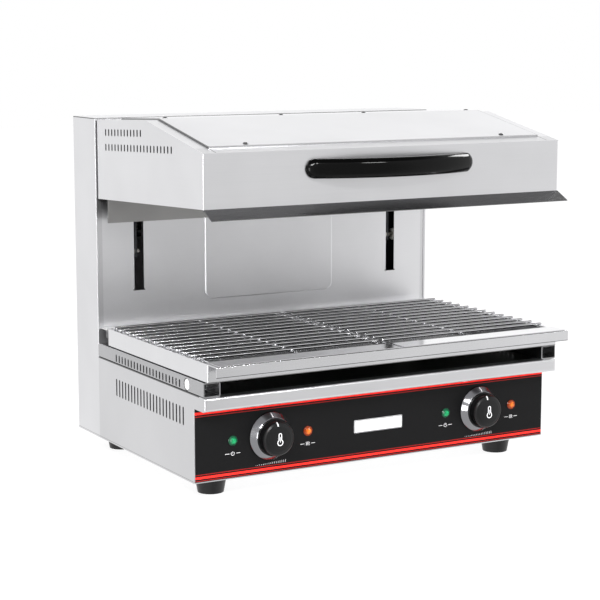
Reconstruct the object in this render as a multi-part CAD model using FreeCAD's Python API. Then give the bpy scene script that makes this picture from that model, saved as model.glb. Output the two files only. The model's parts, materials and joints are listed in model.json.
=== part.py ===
import FreeCAD, Part
import math
import os

# Salamander grill with a lifting head, in millimetres.
# X runs across the front, Y towards the back, Z up.
# The origin is under the middle of the grill, on the worktop.

# Overall size
width = 600.0
depth = 479.0
height = 526.0

# Sheet metal and general clearances
skin = 1.2
lid_sheet = 1.0
base_sheet = 1.5
stack_gap = 0.2
loose_gap = 0.3
bore_play = 0.15
shaft_play = 0.06
push_play = 0.03
low_head = 1.4

# Places from front to back
handle_reach = 40.0
panel_setback = 29.5
nose_reach = 33.0
column_depth = 83.0
y_front = -depth / 2
y_rear = depth / 2
y_head = y_front + handle_reach
y_panel = y_head + panel_setback
y_nose = y_panel - nose_reach
y_column = y_rear - column_depth
half = width / 2

# Base, from the feet up to the top of the rails
foot_height = 28.0
foot_top_radius = 24.0
foot_low_radius = 18.9
foot_inset_x = 51.0
foot_inset_front = 51.0
foot_inset_rear = 49.5
panel_height = 106.5
nose_height = 20.1
nose_return = 15.0
nose_wrap = 5.0
nose_radius = 4.0
rail_height = 20.6
rail_width = 26.0
rail_wall = 1.5
rail_radius = 2.5
rail_setback = 3.0
z_floor_plate = foot_height + skin
z_nose = foot_height + panel_height
z_deck = z_nose + nose_height
z_rail = z_deck + rail_height

# Control panel, its printed film, badge, knobs and lamps
film = 0.5
film_margin = 1.6
knob_x = 179.6
knob_z = 83.0
lamp_pitch = 60.5
lamp_radius = 6.0
lamp_bezel_radius = 7.2
lamp_neck_radius = 5.0
lamp_dome = 3.0
lamp_rim = 1.0
lamp_shoulder = 1.6
lamp_holder_wall = 2.0
lamp_holder_length = 20.0
tab_length = 8.0
tab_half_width = 3.0
tab_half_thick = 0.4
badge_length = 82.7
badge_height = 19.0
badge_z = 79.7
badge_thick = 0.8
badge_corner = 1.5
knob_base_radius = 34.5
knob_face_radius = 27.2
knob_collar = 1.0
knob_face_depth = 13.0
knob_ring_gap = 0.6
knob_ring_edge = 0.8
knob_gap = 1.0
knob_cap_depth = 27.0
knob_cap_radius = 24.6
spindle_radius = 3.0
spindle_length = 38.0
spindle_in_cap = 8.0
thermostat_width = 44.0
thermostat_height = 36.0
thermostat_depth = 40.0
bush_radius = 5.5
bush_length = 2.2

# Vents in the base sides and rails
vent_width = 4.0
vent_pitch = 10.8
vent_count = 22
vent_first_back = 66.8
base_vent_low = 105.0
base_vent_height = 26.5
rail_vent_rise = 2.6
rail_vent_height = 11.3
rail_vent_count = 21
button_radius = 8.2
button_play = 0.5
button_from_nose = 54.7
button_head = 8.0
button_stem_inset = 2.5
button_edge = 1.5

# Column and its back panel
column_drop = 6.4
column_return = 4.0
rear_return = 14.0
slot_x = 229.5
slot_width = 16.2
slot_clear = 4.0
slot_foot_width = 20.0
slot_foot_height = 2.0
emboss_half = 116.0
emboss_low = 229.4
emboss_high = 465.0
emboss_corner = 14.0
emboss_rise = 2.4
emboss_edge = 1.9
z_shelf = 199.4
shelf_reach = 25.0
shelf_drop = 12.6

# Lifting head
head_side_inset = 2.5
head_gap = 4.0
head_pitch = 2.2
ridge_setback = 178.7
slope_drop = 36.2
face_height = 77.9
head_corner = 2.0
ridge_screw_setback = 11.0
lip_reach = 24.8
lip_drop = 12.5
skirt_setback = 32.5
skirt_hang = 34.2
skirt_hem = 8.0
cover_half = 277.0
cover_front_setback = 24.5
cover_back = 130.0
cover_edge = 2.4
window_margin = 15.0
window_side_margin = 23.0
head_vent_width = 4.0
head_vent_height = 10.5
head_vent_pitch = 11.2
upper_vent_count = 12
lower_vent_count = 21
upper_vent_drop = 15.7
lower_vent_drop = 37.6
head_vent_back = 31.4
lift_travel = 110.0

# Handle
handle_half = 140.0
handle_height = 27.5
handle_z_drop = 28.9
handle_mid_thick = 14.0
handle_foot = 29.0
handle_round = 5.0
handle_tip = 6.0
handle_screw_radius = 2.5

# Heating elements and reflector
reflector_drop = 46.0
reflector_rim = 14.0
element_radius = 4.0
element_rise = 17.0
element_runs = 6
element_run_pitch = 48.0
element_inner = 16.0
element_outer = 272.0
hanger_thick = 3.0
hanger_x_inner = 70.0
hanger_x_outer = 225.0
hanger_drop = 8.0
hanger_leg = 6.0
element_bend = 9.0
element_terminal = 8.0
element_hole_gap = 1.0

# Lifting arms, guide channels, rollers and springs
arm_thick = 3.0
arm_high_drop = 33.0
arm_hide = 5.0
arm_flange = 30.0
arm_flange_lift = 6.0
arm_corner = 2.0
hook_plate_half = 14.0
hook_plate_over = 8.0
carriage_gap = 8.8
carriage_depth = 38.0
carriage_low = 301.0
carriage_high = 496.0
roller_radius = 10.0
roller_width = 10.0
axle_radius = 3.0
axle_head_radius = 5.0
axle_head = 4.0
axle_over = 1.4
roller_edge = 0.8
lower_roller_z = 312.0
upper_roller_z = 480.0
roller_play = 0.3
roller_side_gap = 2.0
channel_wall = 1.5
channel_web = 1.5
channel_low = 172.0
channel_top_gap = 2.0
stop_height = 12.0
stop_inset = 1.5
spring_radius = 9.5
spring_bore = 7.0
spring_wire = 1.25
spring_eye = 4.6
spring_side_gap = 2.5
spring_end_wall = 2.5
spring_neck = 2.0
anchor_half = 9.0
anchor_below = 8.0
anchor_foot = 14.0
anchor_gap = 4.0
hook_pin_radius = 3.0
hook_pin_length = 21.0
hook_back = 31.0
lower_hook_z = 334.0
upper_hook_drop = 18.0

# Tray and grids
tray_overhang = 3.4
tray_side_inset = 3.0
tray_height = 26.8
tray_wall = 1.2
tray_corner = 3.0
tray_foot_radius = 1.6
tray_hem = 6.0
tray_rear_gap = 29.5
tray_lip_reach = 27.5
tray_lip_drop = 14.9
rod_radius = 2.0
rod_pitch = 24.0
rod_count = 13
rod_last_gap = 12.0
grid_side_gap = 4.0
grid_middle_gap = 3.4
strip_thick = 1.2
strip_front_gap = 2.0
strip_width = 33.0
bearer_bite = 0.3
bearer_overlap = 6.0
bearer_past = 1.0
bearer_side_gap = 1.5
rod_end_share = 0.45

# Derived heights and places
head_half = half - head_side_inset
tray_half = half - tray_side_inset
pitch_slope = math.tan(math.radians(head_pitch))
z_ridge = height - low_head + ridge_screw_setback * pitch_slope
z_column = z_ridge - column_drop
y_ridge = y_head + ridge_setback
y_head_rear = y_column - head_gap
z_face_top = z_ridge - slope_drop
z_face_low = z_face_top - face_height
z_side_low_rear = z_face_low - (y_head_rear - y_head) * pitch_slope
z_skirt = z_side_low_rear - skirt_hang
y_skirt = y_head_rear - skirt_setback
z_arm_low = z_skirt + arm_hide
z_arm_high = z_ridge - arm_high_drop - (y_head_rear - y_ridge) * pitch_slope
z_slot_low = z_arm_low - lift_travel - slot_clear
z_slot_high = z_arm_high + slot_clear
y_back_face = y_column + skin
y_back_rear = y_back_face + lid_sheet
y_cover_rear = y_rear - low_head
y_cover_front = y_cover_rear - lid_sheet
y_arm = y_back_rear + carriage_gap - lid_sheet
y_arm_rear = y_arm + carriage_depth - carriage_gap
arm_x = slot_x + 1.0
y_roller = y_back_rear + channel_wall + roller_radius + roller_play
y_hook = y_back_rear + hook_back + carriage_gap
z_upper_hook = z_column - upper_hook_drop
channel_x = slot_x + slot_width / 2 + 1.0
roller_x = channel_x + roller_play + roller_side_gap
channel_floor_x = channel_x + roller_play + 2 * roller_side_gap + roller_width
z_tray = z_rail + stack_gap
z_tray_top = z_tray + tray_height
y_tray = y_nose - tray_overhang
y_tray_rear = y_column - tray_rear_gap
y_tray_lip = y_tray - tray_lip_reach
z_rod = z_tray_top + loose_gap + rod_radius
z_reflector = z_ridge - reflector_drop - slope_drop
z_element = z_reflector - element_rise
y_film = y_panel - film
handle_z = z_face_top - handle_z_drop


def point(x, y, z):
    return FreeCAD.Vector(x, y, z)


def box(x0, x1, y0, y1, z0, z1):
    """A block between two opposite corners."""
    return Part.makeBox(x1 - x0, y1 - y0, z1 - z0, point(x0, y0, z0))


def bar(radius, start, end):
    """A round bar from one point to another."""
    first = point(*start)
    run = point(*end) - first
    return Part.makeCylinder(radius, run.Length, first, run)


def prism(corners, run):
    """A closed outline of 3D corners, pushed along a vector."""
    outline = Part.makePolygon([point(*c) for c in corners + corners[:1]])
    return Part.Face(outline).extrude(point(*run))


def side_prism(corners, x0, x1):
    """An outline in the YZ plane, pushed from x0 to x1."""
    return prism([(x0, y, z) for y, z in corners], (x1 - x0, 0, 0))


def union(pieces):
    """One solid from pieces that overlap or share faces."""
    joined = pieces[0].multiFuse(pieces[1:])
    return joined.removeSplitter()


def group(pieces):
    """Separate solids kept in one node."""
    return Part.makeCompound(pieces)


def mirrored(shape):
    """The same piece on the other side of the middle plane."""
    return shape.mirror(point(0, 0, 0), point(1, 0, 0))


def both_sides(shape):
    return [shape, mirrored(shape)]


def edge_runs_along(edge, axis):
    """True for a straight edge that runs along x, y or z."""
    if len(edge.Vertexes) < 2:
        return False
    run = edge.Vertexes[-1].Point - edge.Vertexes[0].Point
    along = abs(getattr(run, axis))
    return abs(edge.Length - run.Length) < 1e-4 and along > 0.999 * run.Length


def rounded(shape, radius, axis, keep):
    """Rounds the straight edges along one axis whose middle passes the test."""
    edges = []
    for edge in shape.Edges:
        if edge_runs_along(edge, axis) and keep(edge.CenterOfMass):
            edges.append(edge)
    return shape.makeFillet(radius, edges)


def near(value, target):
    return abs(value - target) < 0.01


def rounded_front(shape, radius, y):
    """Rounds all the edges of the face that looks to the front at y."""
    edges = [e for e in shape.Edges if all(near(v.Y, y) for v in e.Vertexes)]
    return shape.makeFillet(radius, edges)


def slot_through_x(x0, x1, y, z0, z1, slot):
    """A cutter for an upright slot with round ends through a side panel."""
    r = slot / 2
    middle = box(x0, x1, y - r, y + r, z0 + r, z1 - r)
    low_end = bar(r, (x0, y, z0 + r), (x1, y, z0 + r))
    high_end = bar(r, (x0, y, z1 - r), (x1, y, z1 - r))
    return union([middle, low_end, high_end])


def revolved(profile, x, y, z):
    """Turns (radius, distance towards the front) points about a line along Y."""
    corners = [(x + r, y - d, z) for r, d in profile]
    outline = Part.makePolygon([point(*c) for c in corners + corners[:1]])
    return Part.Face(outline).revolve(point(x, y, z), point(0, 1, 0), 360)


# Places shared by pieces that fasten to each other

def foot_places():
    front = y_panel + foot_inset_front
    rear = y_rear - foot_inset_rear
    x = half - foot_inset_x
    return [(sx * x, y) for y in (front, rear) for sx in (-1, 1)]


def lamp_places():
    """Green lamps stand left of each knob, amber lamps right of it."""
    green = [(side * knob_x - lamp_pitch, knob_z) for side in (-1, 1)]
    amber = [(side * knob_x + lamp_pitch, knob_z) for side in (-1, 1)]
    return green, amber


def cover_z(y):
    """Height of the top of the head cover at a place from front to back."""
    if y >= y_ridge:
        return z_ridge - (y - y_ridge) * pitch_slope
    return z_ridge - (y_ridge - y) * slope_drop / ridge_setback


head_screw_radius = 2.0
head_screw_head = 4.0
head_screw_length = 7.0
cover_screw_inset = 9.0
front_screw_x = 215.5
ridge_screw_x = (72.0, 262.0)


def head_cover_screw_places():
    front = y_head + cover_front_setback + cover_screw_inset
    behind = y_ridge + ridge_screw_setback
    places = [(side * front_screw_x, front) for side in (-1, 1)]
    places += [(side * x, behind) for x in ridge_screw_x for side in (-1, 1)]
    return places


rear_screw_radius = 1.9
rear_screw_head = 3.6
rear_screw_length = 7.0
rear_screw_levels = 4
rear_screw_margin = 22.0


def rear_screw_places():
    x = half - rear_return / 2 - skin
    low = z_floor_plate + rear_screw_margin
    high = z_column - skin - rear_screw_margin
    step = (high - low) / (rear_screw_levels - 1)
    return [(side * x, low + i * step) for i in range(rear_screw_levels) for side in (-1, 1)]


def rear_screws():
    screws = []
    for x, z in rear_screw_places():
        shank = bar(rear_screw_radius, (x, y_cover_rear, z), (x, y_cover_rear - rear_screw_length, z))
        head = bar(rear_screw_head, (x, y_cover_rear, z), (x, y_rear, z))
        screws.append(union([shank, head]))
    return group(screws)


def rear_screw_holes():
    r = rear_screw_radius + bore_play
    return [bar(r, (x, y_cover_rear + 1, z), (x, y_cover_rear - rear_screw_length - 1, z))
            for x, z in rear_screw_places()]


# Base

foot_bolt_radius = 3.0
foot_bolt_head = 5.5
foot_recess_radius = 7.0
foot_recess = 10.0
foot_nut = 5.0
foot_bolt_head_height = 4.0
foot_bolt_over = 2.0


def feet():
    made = []
    for x, y in foot_places():
        cone = Part.makeCone(foot_low_radius, foot_top_radius, foot_height, point(x, y, 0))
        recess = bar(foot_recess_radius, (x, y, -1), (x, y, foot_recess))
        bore = bar(foot_bolt_radius + bore_play, (x, y, 0), (x, y, foot_height + 1))
        made.append(cone.cut([recess, bore]))
    return group(made)


def foot_bolts():
    made = []
    for x, y in foot_places():
        head = bar(foot_bolt_head, (x, y, foot_recess - foot_bolt_head_height), (x, y, foot_recess))
        shank = bar(foot_bolt_radius, (x, y, foot_recess), (x, y, z_floor_plate + foot_nut + foot_bolt_over))
        nut = bar(foot_bolt_head, (x, y, z_floor_plate), (x, y, z_floor_plate + foot_nut))
        made.append(union([head, shank, nut]))
    return group(made)


def base_bottom():
    plate = box(-half, half, y_panel, y_rear, foot_height, z_floor_plate)
    plate = rounded(plate, base_sheet, "z", lambda c: c.y < y_panel + 1)
    holes = []
    for x, y in foot_places():
        holes.append(bar(foot_bolt_radius + bore_play, (x, y, foot_height - 1), (x, y, z_floor_plate + 1)))
    return plate.cut(holes)


def vent_ys(count):
    first = y_column - vent_first_back
    return [first - i * vent_pitch for i in range(count)]


def base_side():
    """The left side of the base, stepped forward under the nose."""
    back = y_column
    corners = [
        (y_panel, z_floor_plate),
        (back, z_floor_plate),
        (back, z_deck),
        (y_nose + nose_wrap, z_deck),
        (y_nose + nose_wrap, z_nose),
        (y_panel, z_nose),
    ]
    plate = side_prism(corners, -half, -half + base_sheet)
    front_edge = lambda c: near(c.y, y_panel) and near(c.x, -half)
    plate = rounded(plate, base_sheet / 2, "z", front_edge)
    slots = []
    for y in vent_ys(vent_count):
        top = base_vent_low + base_vent_height
        slots.append(slot_through_x(-half - 1, -half + base_sheet + 1, y, base_vent_low, top, vent_width))
    return plate.cut(slots)


def nose_strip():
    """The strip over the control panel, with rounded bends and closed ends."""
    inner = half - skin
    back = y_nose + nose_wrap
    shell = box(-half, half, y_nose, back, z_nose, z_deck)
    shell = rounded_front(shell, nose_radius, y_nose)
    hollow = box(-inner, inner, y_nose + skin, back + 1, z_nose + skin, z_deck - skin)
    hollow = rounded_front(hollow, nose_radius - skin, y_nose + skin)
    side = half - base_sheet
    under = box(-side, side, back, y_panel, z_nose, z_nose + skin)
    over = box(-side, side, back, y_nose + nose_return, z_deck - skin, z_deck)
    return union([shell.cut(hollow), under, over])


def deck_plate():
    side = half - base_sheet
    return box(-side, side, y_nose + nose_return, y_column, z_deck - skin, z_deck)


def panel_bores(front, back, spindle_hole, lamp_hole):
    """Holes for both spindles and all four lamps through a sheet."""
    holes = []
    for side in (-1, 1):
        x = side * knob_x
        holes.append(bar(spindle_hole, (x, front - 1, knob_z), (x, back + 1, knob_z)))
    green, amber = lamp_places()
    for x, z in green + amber:
        holes.append(bar(lamp_hole, (x, front - 1, z), (x, back + 1, z)))
    return holes


def control_panel():
    side = half - base_sheet
    plate = box(-side, side, y_panel, y_panel + skin, z_floor_plate, z_nose)
    bores = panel_bores(y_panel, y_panel + skin, bush_radius + bore_play, lamp_neck_radius + bore_play)
    return plate.cut(bores)


def panel_film():
    side = half - film_margin
    sheet = box(-side, side, y_film, y_panel, foot_height + film_margin, z_nose)
    bores = panel_bores(y_film, y_panel, bush_radius + bore_play, lamp_neck_radius + bore_play)
    return sheet.cut(bores)


def badge_plate():
    x = badge_length / 2
    low = badge_z - badge_height / 2
    high = badge_z + badge_height / 2
    plate = box(-x, x, y_film - badge_thick, y_film, low, high)
    return rounded(plate, badge_corner, "y", lambda c: True)


def lamp_lens(x, z):
    """A domed lens with a bezel rim and a neck that reaches its holder."""
    front = y_film
    profile = [(0, 0), (lamp_bezel_radius, 0), (lamp_bezel_radius, lamp_rim),
               (lamp_radius, lamp_shoulder), (0, lamp_shoulder)]
    rim = revolved(profile, x, front, z)
    neck = bar(lamp_neck_radius, (x, front, z), (x, y_panel + skin, z))
    ball_radius = (lamp_radius ** 2 + lamp_dome ** 2) / (2 * lamp_dome)
    top = front - lamp_shoulder - lamp_dome
    ball = Part.makeSphere(ball_radius, point(x, top + ball_radius, z))
    slab = box(x - lamp_radius, x + lamp_radius, top - 1, front - lamp_rim, z - lamp_radius, z + lamp_radius)
    return union([rim, neck, ball.common(slab)])


def lamp_holder(x, z):
    back = y_panel + skin
    end = back + lamp_holder_length
    body = bar(lamp_neck_radius + lamp_holder_wall, (x, back, z), (x, end, z))
    tab = box(x - tab_half_width, x + tab_half_width, end, end + tab_length,
              z - tab_half_thick, z + tab_half_thick)
    return union([body, tab])


def lamp_lenses(places):
    return group([lamp_lens(x, z) for x, z in places])


def lamp_holders():
    green, amber = lamp_places()
    return group([lamp_holder(x, z) for x, z in green + amber])


# Knobs and thermostats

def thermostat(side):
    """Housing behind the panel with a bush that carries the spindle."""
    x = side * knob_x
    back = y_panel + skin
    w = thermostat_width / 2
    h = thermostat_height / 2
    body = box(x - w, x + w, back, back + thermostat_depth, knob_z - h, knob_z + h)
    bush = bar(bush_radius, (x, back, knob_z), (x, back - bush_length, knob_z))
    tabs = []
    for tab in (-1, 1):
        tab_x = x + tab * w / 2
        rear = back + thermostat_depth
        tabs.append(box(tab_x - tab_half_width, tab_x + tab_half_width, rear, rear + tab_length,
                        knob_z - tab_half_thick, knob_z + tab_half_thick))
    whole = union([body, bush] + tabs)
    spindle_depth = back - bush_length + spindle_length - spindle_in_cap
    bush_end = back - bush_length
    bore = bar(spindle_radius + shaft_play, (x, bush_end - 1, knob_z), (x, spindle_depth + 1, knob_z))
    return whole.cut(bore)


def thermostats():
    return group([thermostat(-1), thermostat(1)])


def spindle(side):
    x = side * knob_x
    back = y_panel + skin - bush_length + spindle_length - spindle_in_cap
    front = y_film - knob_gap - knob_cap_depth + spindle_in_cap
    return bar(spindle_radius, (x, front, knob_z), (x, back, knob_z))


def knob_body(side):
    """The black moulding: hub, face and domed cap, with a bore for the spindle."""
    x = side * knob_x
    r = knob_face_radius
    cap = knob_cap_radius
    face = knob_face_depth
    end = knob_cap_depth
    profile = [
        (0, 0),
        (r - 1, 0),
        (r - 1, face - 2),
        (r, face - 1),
        (r, face - 0.4),
        (r - 0.4, face),
        (cap + 0.8, face),
        (cap + 0.8, face - 1),
        (cap, face - 1),
        (cap, end - 5.0),
        (cap - 0.8, end - 3.2),
        (cap - 2.6, end - 1.8),
        (cap - 7.0, end - 0.7),
        (cap - 14.0, end - 0.1),
        (0, end),
    ]
    body = revolved(profile, x, y_film - knob_gap, knob_z)
    depth_in = knob_cap_depth - spindle_in_cap
    bore = bar(spindle_radius + push_play, (x, y_film - knob_gap + 1, knob_z),
               (x, y_film - knob_gap - depth_in, knob_z))
    return body.cut(bore)


def knob_ring(side):
    """The bright cone round the waist of the knob, behind the edge of its face."""
    inner = knob_face_radius - 0.9
    outer = knob_face_radius + knob_collar
    base = knob_base_radius
    edge = knob_ring_edge
    front = knob_face_depth - 2 - knob_ring_gap
    profile = [
        (inner, 0),
        (base, 0),
        (base, 1.6),
        (base - 0.5, 2.4),
        (outer, front - edge),
        (outer - edge, front),
        (inner, front),
    ]
    return revolved(profile, side * knob_x, y_film - knob_gap, knob_z)


# Rails on the deck

def rail_left():
    """Square tube with vents through both walls and a hole for the nylon button."""
    x0 = -half
    x1 = -half + rail_width
    front = y_nose + rail_setback
    tube = box(x0, x1, front, y_column, z_deck, z_rail)
    tube = rounded(tube, rail_radius, "y", lambda c: True)
    hollow = box(x0 + rail_wall, x1 - rail_wall, front - 1, y_column + 1,
                 z_deck + rail_wall, z_rail - rail_wall)
    hollow = rounded(hollow, rail_radius - rail_wall, "y", lambda c: True)
    low = z_deck + rail_vent_rise
    cutters = [hollow]
    for y in vent_ys(rail_vent_count):
        cutters.append(slot_through_x(x0 - 1, x1 + 1, y, low, low + rail_vent_height, vent_width))
    y = y_nose + button_from_nose
    z = (z_deck + z_rail) / 2
    cutters.append(bar(button_radius + button_play, (x0 - 1, y, z), (x0 + rail_wall + 0.5, y, z)))
    return tube.cut(cutters)


def rail_button():
    """Nylon bumper standing on the inner wall of the tube, flush with its outside."""
    x1 = -half + rail_width - rail_wall
    y = y_nose + button_from_nose
    z = (z_deck + z_rail) / 2
    neck_x = -half + button_head
    face_x = -half + loose_gap
    stem = bar(button_radius - button_stem_inset, (x1, y, z), (neck_x, y, z))
    head = bar(button_radius, (neck_x, y, z), (face_x, y, z))
    head = head.makeFillet(button_edge, [e for e in head.Edges if near(e.CenterOfMass.x, face_x)])
    return union([stem, head])


# Column

def column_side():
    """Left side of the column, with a narrow front return and a rear flange."""
    inner_x = -half + skin
    base_z = z_floor_plate
    top_z = z_column - skin
    plate = box(-half, inner_x, y_column, y_rear, base_z, top_z)
    front = box(-half, -half + column_return, y_column, y_column + skin, base_z, top_z)
    rear = box(-half, -half + rear_return, y_cover_front - skin, y_cover_front, base_z, top_z)
    side = union([plate, front, rear])
    side = rounded(side, skin, "z", lambda c: near(c.x, -half) and near(c.y, y_column))
    side = rounded(side, 0.5 * skin, "z", lambda c: near(c.x, -half) and near(c.y, y_rear))
    return side.cut(rear_screw_holes())


grommet_x = 215.0
grommet_z = 62.0
grommet_bore = 4.5
grommet_barrel = 8.0
grommet_flange = 11.0
grommet_length = 14.0
grommet_clip = 1.5
grommet_clip_length = 3.0
rear_vent_width = 4.0
rear_vent_height = 28.0
rear_vent_pitch = 12.0
rear_vent_count = 24
rear_vent_rows = (90.0, 440.0)


def column_rear_cover():
    """Screwed rear cover with two rows of vents and the cable inlet."""
    x = half - skin - loose_gap
    cover = box(-x, x, y_cover_front, y_cover_rear, z_floor_plate, z_column - skin)
    cutters = rear_screw_holes()
    start = -(rear_vent_count - 1) * rear_vent_pitch / 2
    r = rear_vent_width / 2
    for low in rear_vent_rows:
        for i in range(rear_vent_count):
            vx = start + i * rear_vent_pitch
            slot = box(vx - r, vx + r, y_cover_front - 1, y_cover_rear + 1, low, low + rear_vent_height)
            cutters.append(rounded(slot, r - 0.01, "y", lambda c: True))
    cutters.append(bar(grommet_barrel + bore_play, (grommet_x, y_cover_front - 1, grommet_z),
                       (grommet_x, y_rear + 1, grommet_z)))
    return cover.cut(cutters)


def cable_grommet():
    x = grommet_x
    z = grommet_z
    flange = bar(grommet_flange, (x, y_cover_rear, z), (x, y_rear, z))
    barrel = bar(grommet_barrel, (x, y_rear, z), (x, y_cover_front - grommet_length, z))
    clip_rear = y_cover_front - 1
    clip = bar(grommet_barrel + grommet_clip, (x, clip_rear, z), (x, clip_rear - grommet_clip_length, z))
    bore = bar(grommet_bore, (x, y_rear + 1, z), (x, y_cover_front - grommet_length - 1, z))
    return union([flange, barrel, clip]).cut(bore)


cap_skirt = 12.0


def column_top_cap():
    """Flat lid on the column with a folded skirt inside the walls."""
    lid = box(-half, half, y_column, y_rear, z_column - skin, z_column)
    lid = rounded(lid, skin, "z", lambda c: True)
    inner = half - skin - loose_gap
    low = z_column - skin - cap_skirt
    rear = y_cover_front - skin - loose_gap
    side_walls = []
    for side in (-1, 1):
        a = side * inner
        b = side * (inner - skin)
        side_walls.append(box(min(a, b), max(a, b), y_back_rear + loose_gap, rear, low, z_column - skin))
    return union([lid] + side_walls)


def arm_slot_cutter(side, front, back):
    """Cuts one arm slot with its wider foot through the back panel."""
    x = side * slot_x
    w = slot_width / 2
    f = slot_foot_width / 2
    main = box(x - w, x + w, front - 1, back + 1, z_slot_low, z_slot_high)
    foot = box(x - f, x + f, front - 1, back + 1, z_slot_low - slot_foot_height, z_slot_low)
    return [main, foot]


def emboss_block(half_wide, low, high, y0, y1, corner):
    block = box(-half_wide, half_wide, y0, y1, low, high)
    return rounded(block, corner, "y", lambda c: True)


def back_panel():
    """Panel between the column sides, with two arm slots and a pressed field."""
    x = half - skin - 0.1
    sheet = box(-x, x, y_back_face, y_back_rear, z_deck, z_column - skin)
    field = emboss_block(emboss_half, emboss_low, emboss_high, y_back_face - emboss_rise, y_back_face,
                         emboss_corner)
    rim = [e for e in field.Edges if near(e.CenterOfMass.y, y_back_face - emboss_rise)]
    field = field.makeFillet(emboss_edge, rim)
    t = lid_sheet
    pocket = emboss_block(emboss_half - t, emboss_low + t, emboss_high - t,
                          y_back_face - emboss_rise + t, y_back_rear + 1, emboss_corner - t)
    cutters = [pocket]
    for side in (-1, 1):
        cutters += arm_slot_cutter(side, y_back_face, y_back_rear)
    return union([sheet, field]).cut(cutters)


def rear_shelf():
    """Folded ledge on the back panel, over the gap behind the tray."""
    x = half - column_return - loose_gap
    front = y_back_face - shelf_reach
    top = box(-x, x, front, y_back_face, z_shelf - skin, z_shelf)
    drop = box(-x, x, front, front + skin, z_shelf - shelf_drop, z_shelf)
    ledge = union([top, drop])
    return rounded(ledge, skin - 0.1, "x", lambda c: near(c.y, front) and near(c.z, z_shelf))


# Guide channels, stops and springs inside the column

def guide_channel():
    """Upright channel on the left for the two rollers: a web and two flanges, welded."""
    x1 = -channel_x
    x0 = -channel_floor_x
    front = y_back_rear
    rear = front + 2 * channel_wall + 2 * (roller_radius + roller_play)
    high = z_column - skin - cap_skirt - channel_top_gap
    web = box(x0 - channel_web, x0, front, rear, channel_low, high)
    front_flange = box(x0, x1, front, front + channel_wall, channel_low, high)
    rear_flange = box(x0, x1, rear - channel_wall, rear, channel_low, high)
    return group([web, front_flange, rear_flange])


def bump_stops():
    """Rubber blocks in the channels below the lower and above the upper roller."""
    x1 = -channel_x - stop_inset
    x0 = -channel_floor_x
    y0 = y_back_rear + channel_wall
    y1 = y0 + 2 * (roller_radius + roller_play)
    low_top = lower_roller_z - lift_travel - roller_radius - loose_gap
    high_low = upper_roller_z + roller_radius + loose_gap
    low = box(x0, x1, y0, y1, low_top - stop_height, low_top)
    high = box(x0, x1, y0, y1, high_low, high_low + stop_height)
    return group(both_sides(low) + both_sides(high))


def arm_inner_x():
    """Inner face of the left arm plate, the side towards the middle."""
    return -(arm_x + arm_thick / 2 - arm_thick)


def spring_x():
    return arm_inner_x() + spring_radius + spring_side_gap


def spring_anchor():
    """Bracket under the column cap that holds the fixed end of a spring."""
    x0 = spring_x() + spring_radius + anchor_gap
    x1 = x0 + arm_thick
    top = z_column - skin
    plate = box(x0, x1, y_hook - anchor_half, y_hook + anchor_half, z_upper_hook - anchor_below, top)
    foot = box(x0, x1 + anchor_foot, y_hook - anchor_half, y_hook + anchor_half, top - arm_thick, top)
    pin = bar(hook_pin_radius, (x1 - hook_pin_length, y_hook, z_upper_hook), (x1, y_hook, z_upper_hook))
    return union([plate, foot, pin])


def spring_anchors():
    return group(both_sides(spring_anchor()))


def lift_spring():
    """Counterbalance spring on the left, close wound, with an eye at each end."""
    x = spring_x()
    eye_drop = spring_eye + spring_wire + spring_neck
    low = lower_hook_z + eye_drop
    high = z_upper_hook - eye_drop
    coil = bar(spring_radius, (x, y_hook, low), (x, y_hook, high))
    core = bar(spring_bore, (x, y_hook, low + spring_end_wall), (x, y_hook, high - spring_end_wall))
    parts = [coil.cut(core)]
    for z in (lower_hook_z, z_upper_hook):
        parts.append(Part.makeTorus(spring_eye, spring_wire, point(x, y_hook, z), point(1, 0, 0)))
    parts.append(bar(spring_wire, (x, y_hook, low + 0.5), (x, y_hook, lower_hook_z + spring_eye)))
    parts.append(bar(spring_wire, (x, y_hook, high - 0.5), (x, y_hook, z_upper_hook - spring_eye)))
    return union(parts)


# Terminal block on the base plate

terminal_x = 215.0
terminal_length = 60.0
terminal_width = 22.0
terminal_height = 18.0
terminal_screws = 5
terminal_setback = 40.0
terminal_bore = 2.5
terminal_bore_inset = 6.0


def terminal_block():
    x0 = terminal_x - terminal_length / 2
    y0 = y_column - terminal_setback
    top = z_floor_plate + terminal_height
    block = box(x0, x0 + terminal_length, y0, y0 + terminal_width, z_floor_plate, top)
    pitch = terminal_length / terminal_screws
    rows = (y0 + terminal_bore_inset, y0 + terminal_width - terminal_bore_inset)
    holes = []
    for i in range(terminal_screws):
        x = x0 + (i + 0.5) * pitch
        for y in rows:
            holes.append(bar(terminal_bore, (x, y, top - terminal_bore_inset), (x, y, top + 1)))
    return block.cut(holes)


# Lifting head

def head_top_z(y, drop):
    return cover_z(y) - drop


def head_outline(drop, inset_rear):
    """Side view of the head, its top lowered by drop."""
    rear = y_head_rear - inset_rear
    return [
        (rear, z_side_low_rear + inset_rear * pitch_slope),
        (y_head, z_face_low),
        (y_head, head_top_z(y_head, drop)),
        (y_ridge, head_top_z(y_ridge, drop)),
        (rear, head_top_z(rear, drop)),
    ]


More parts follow.
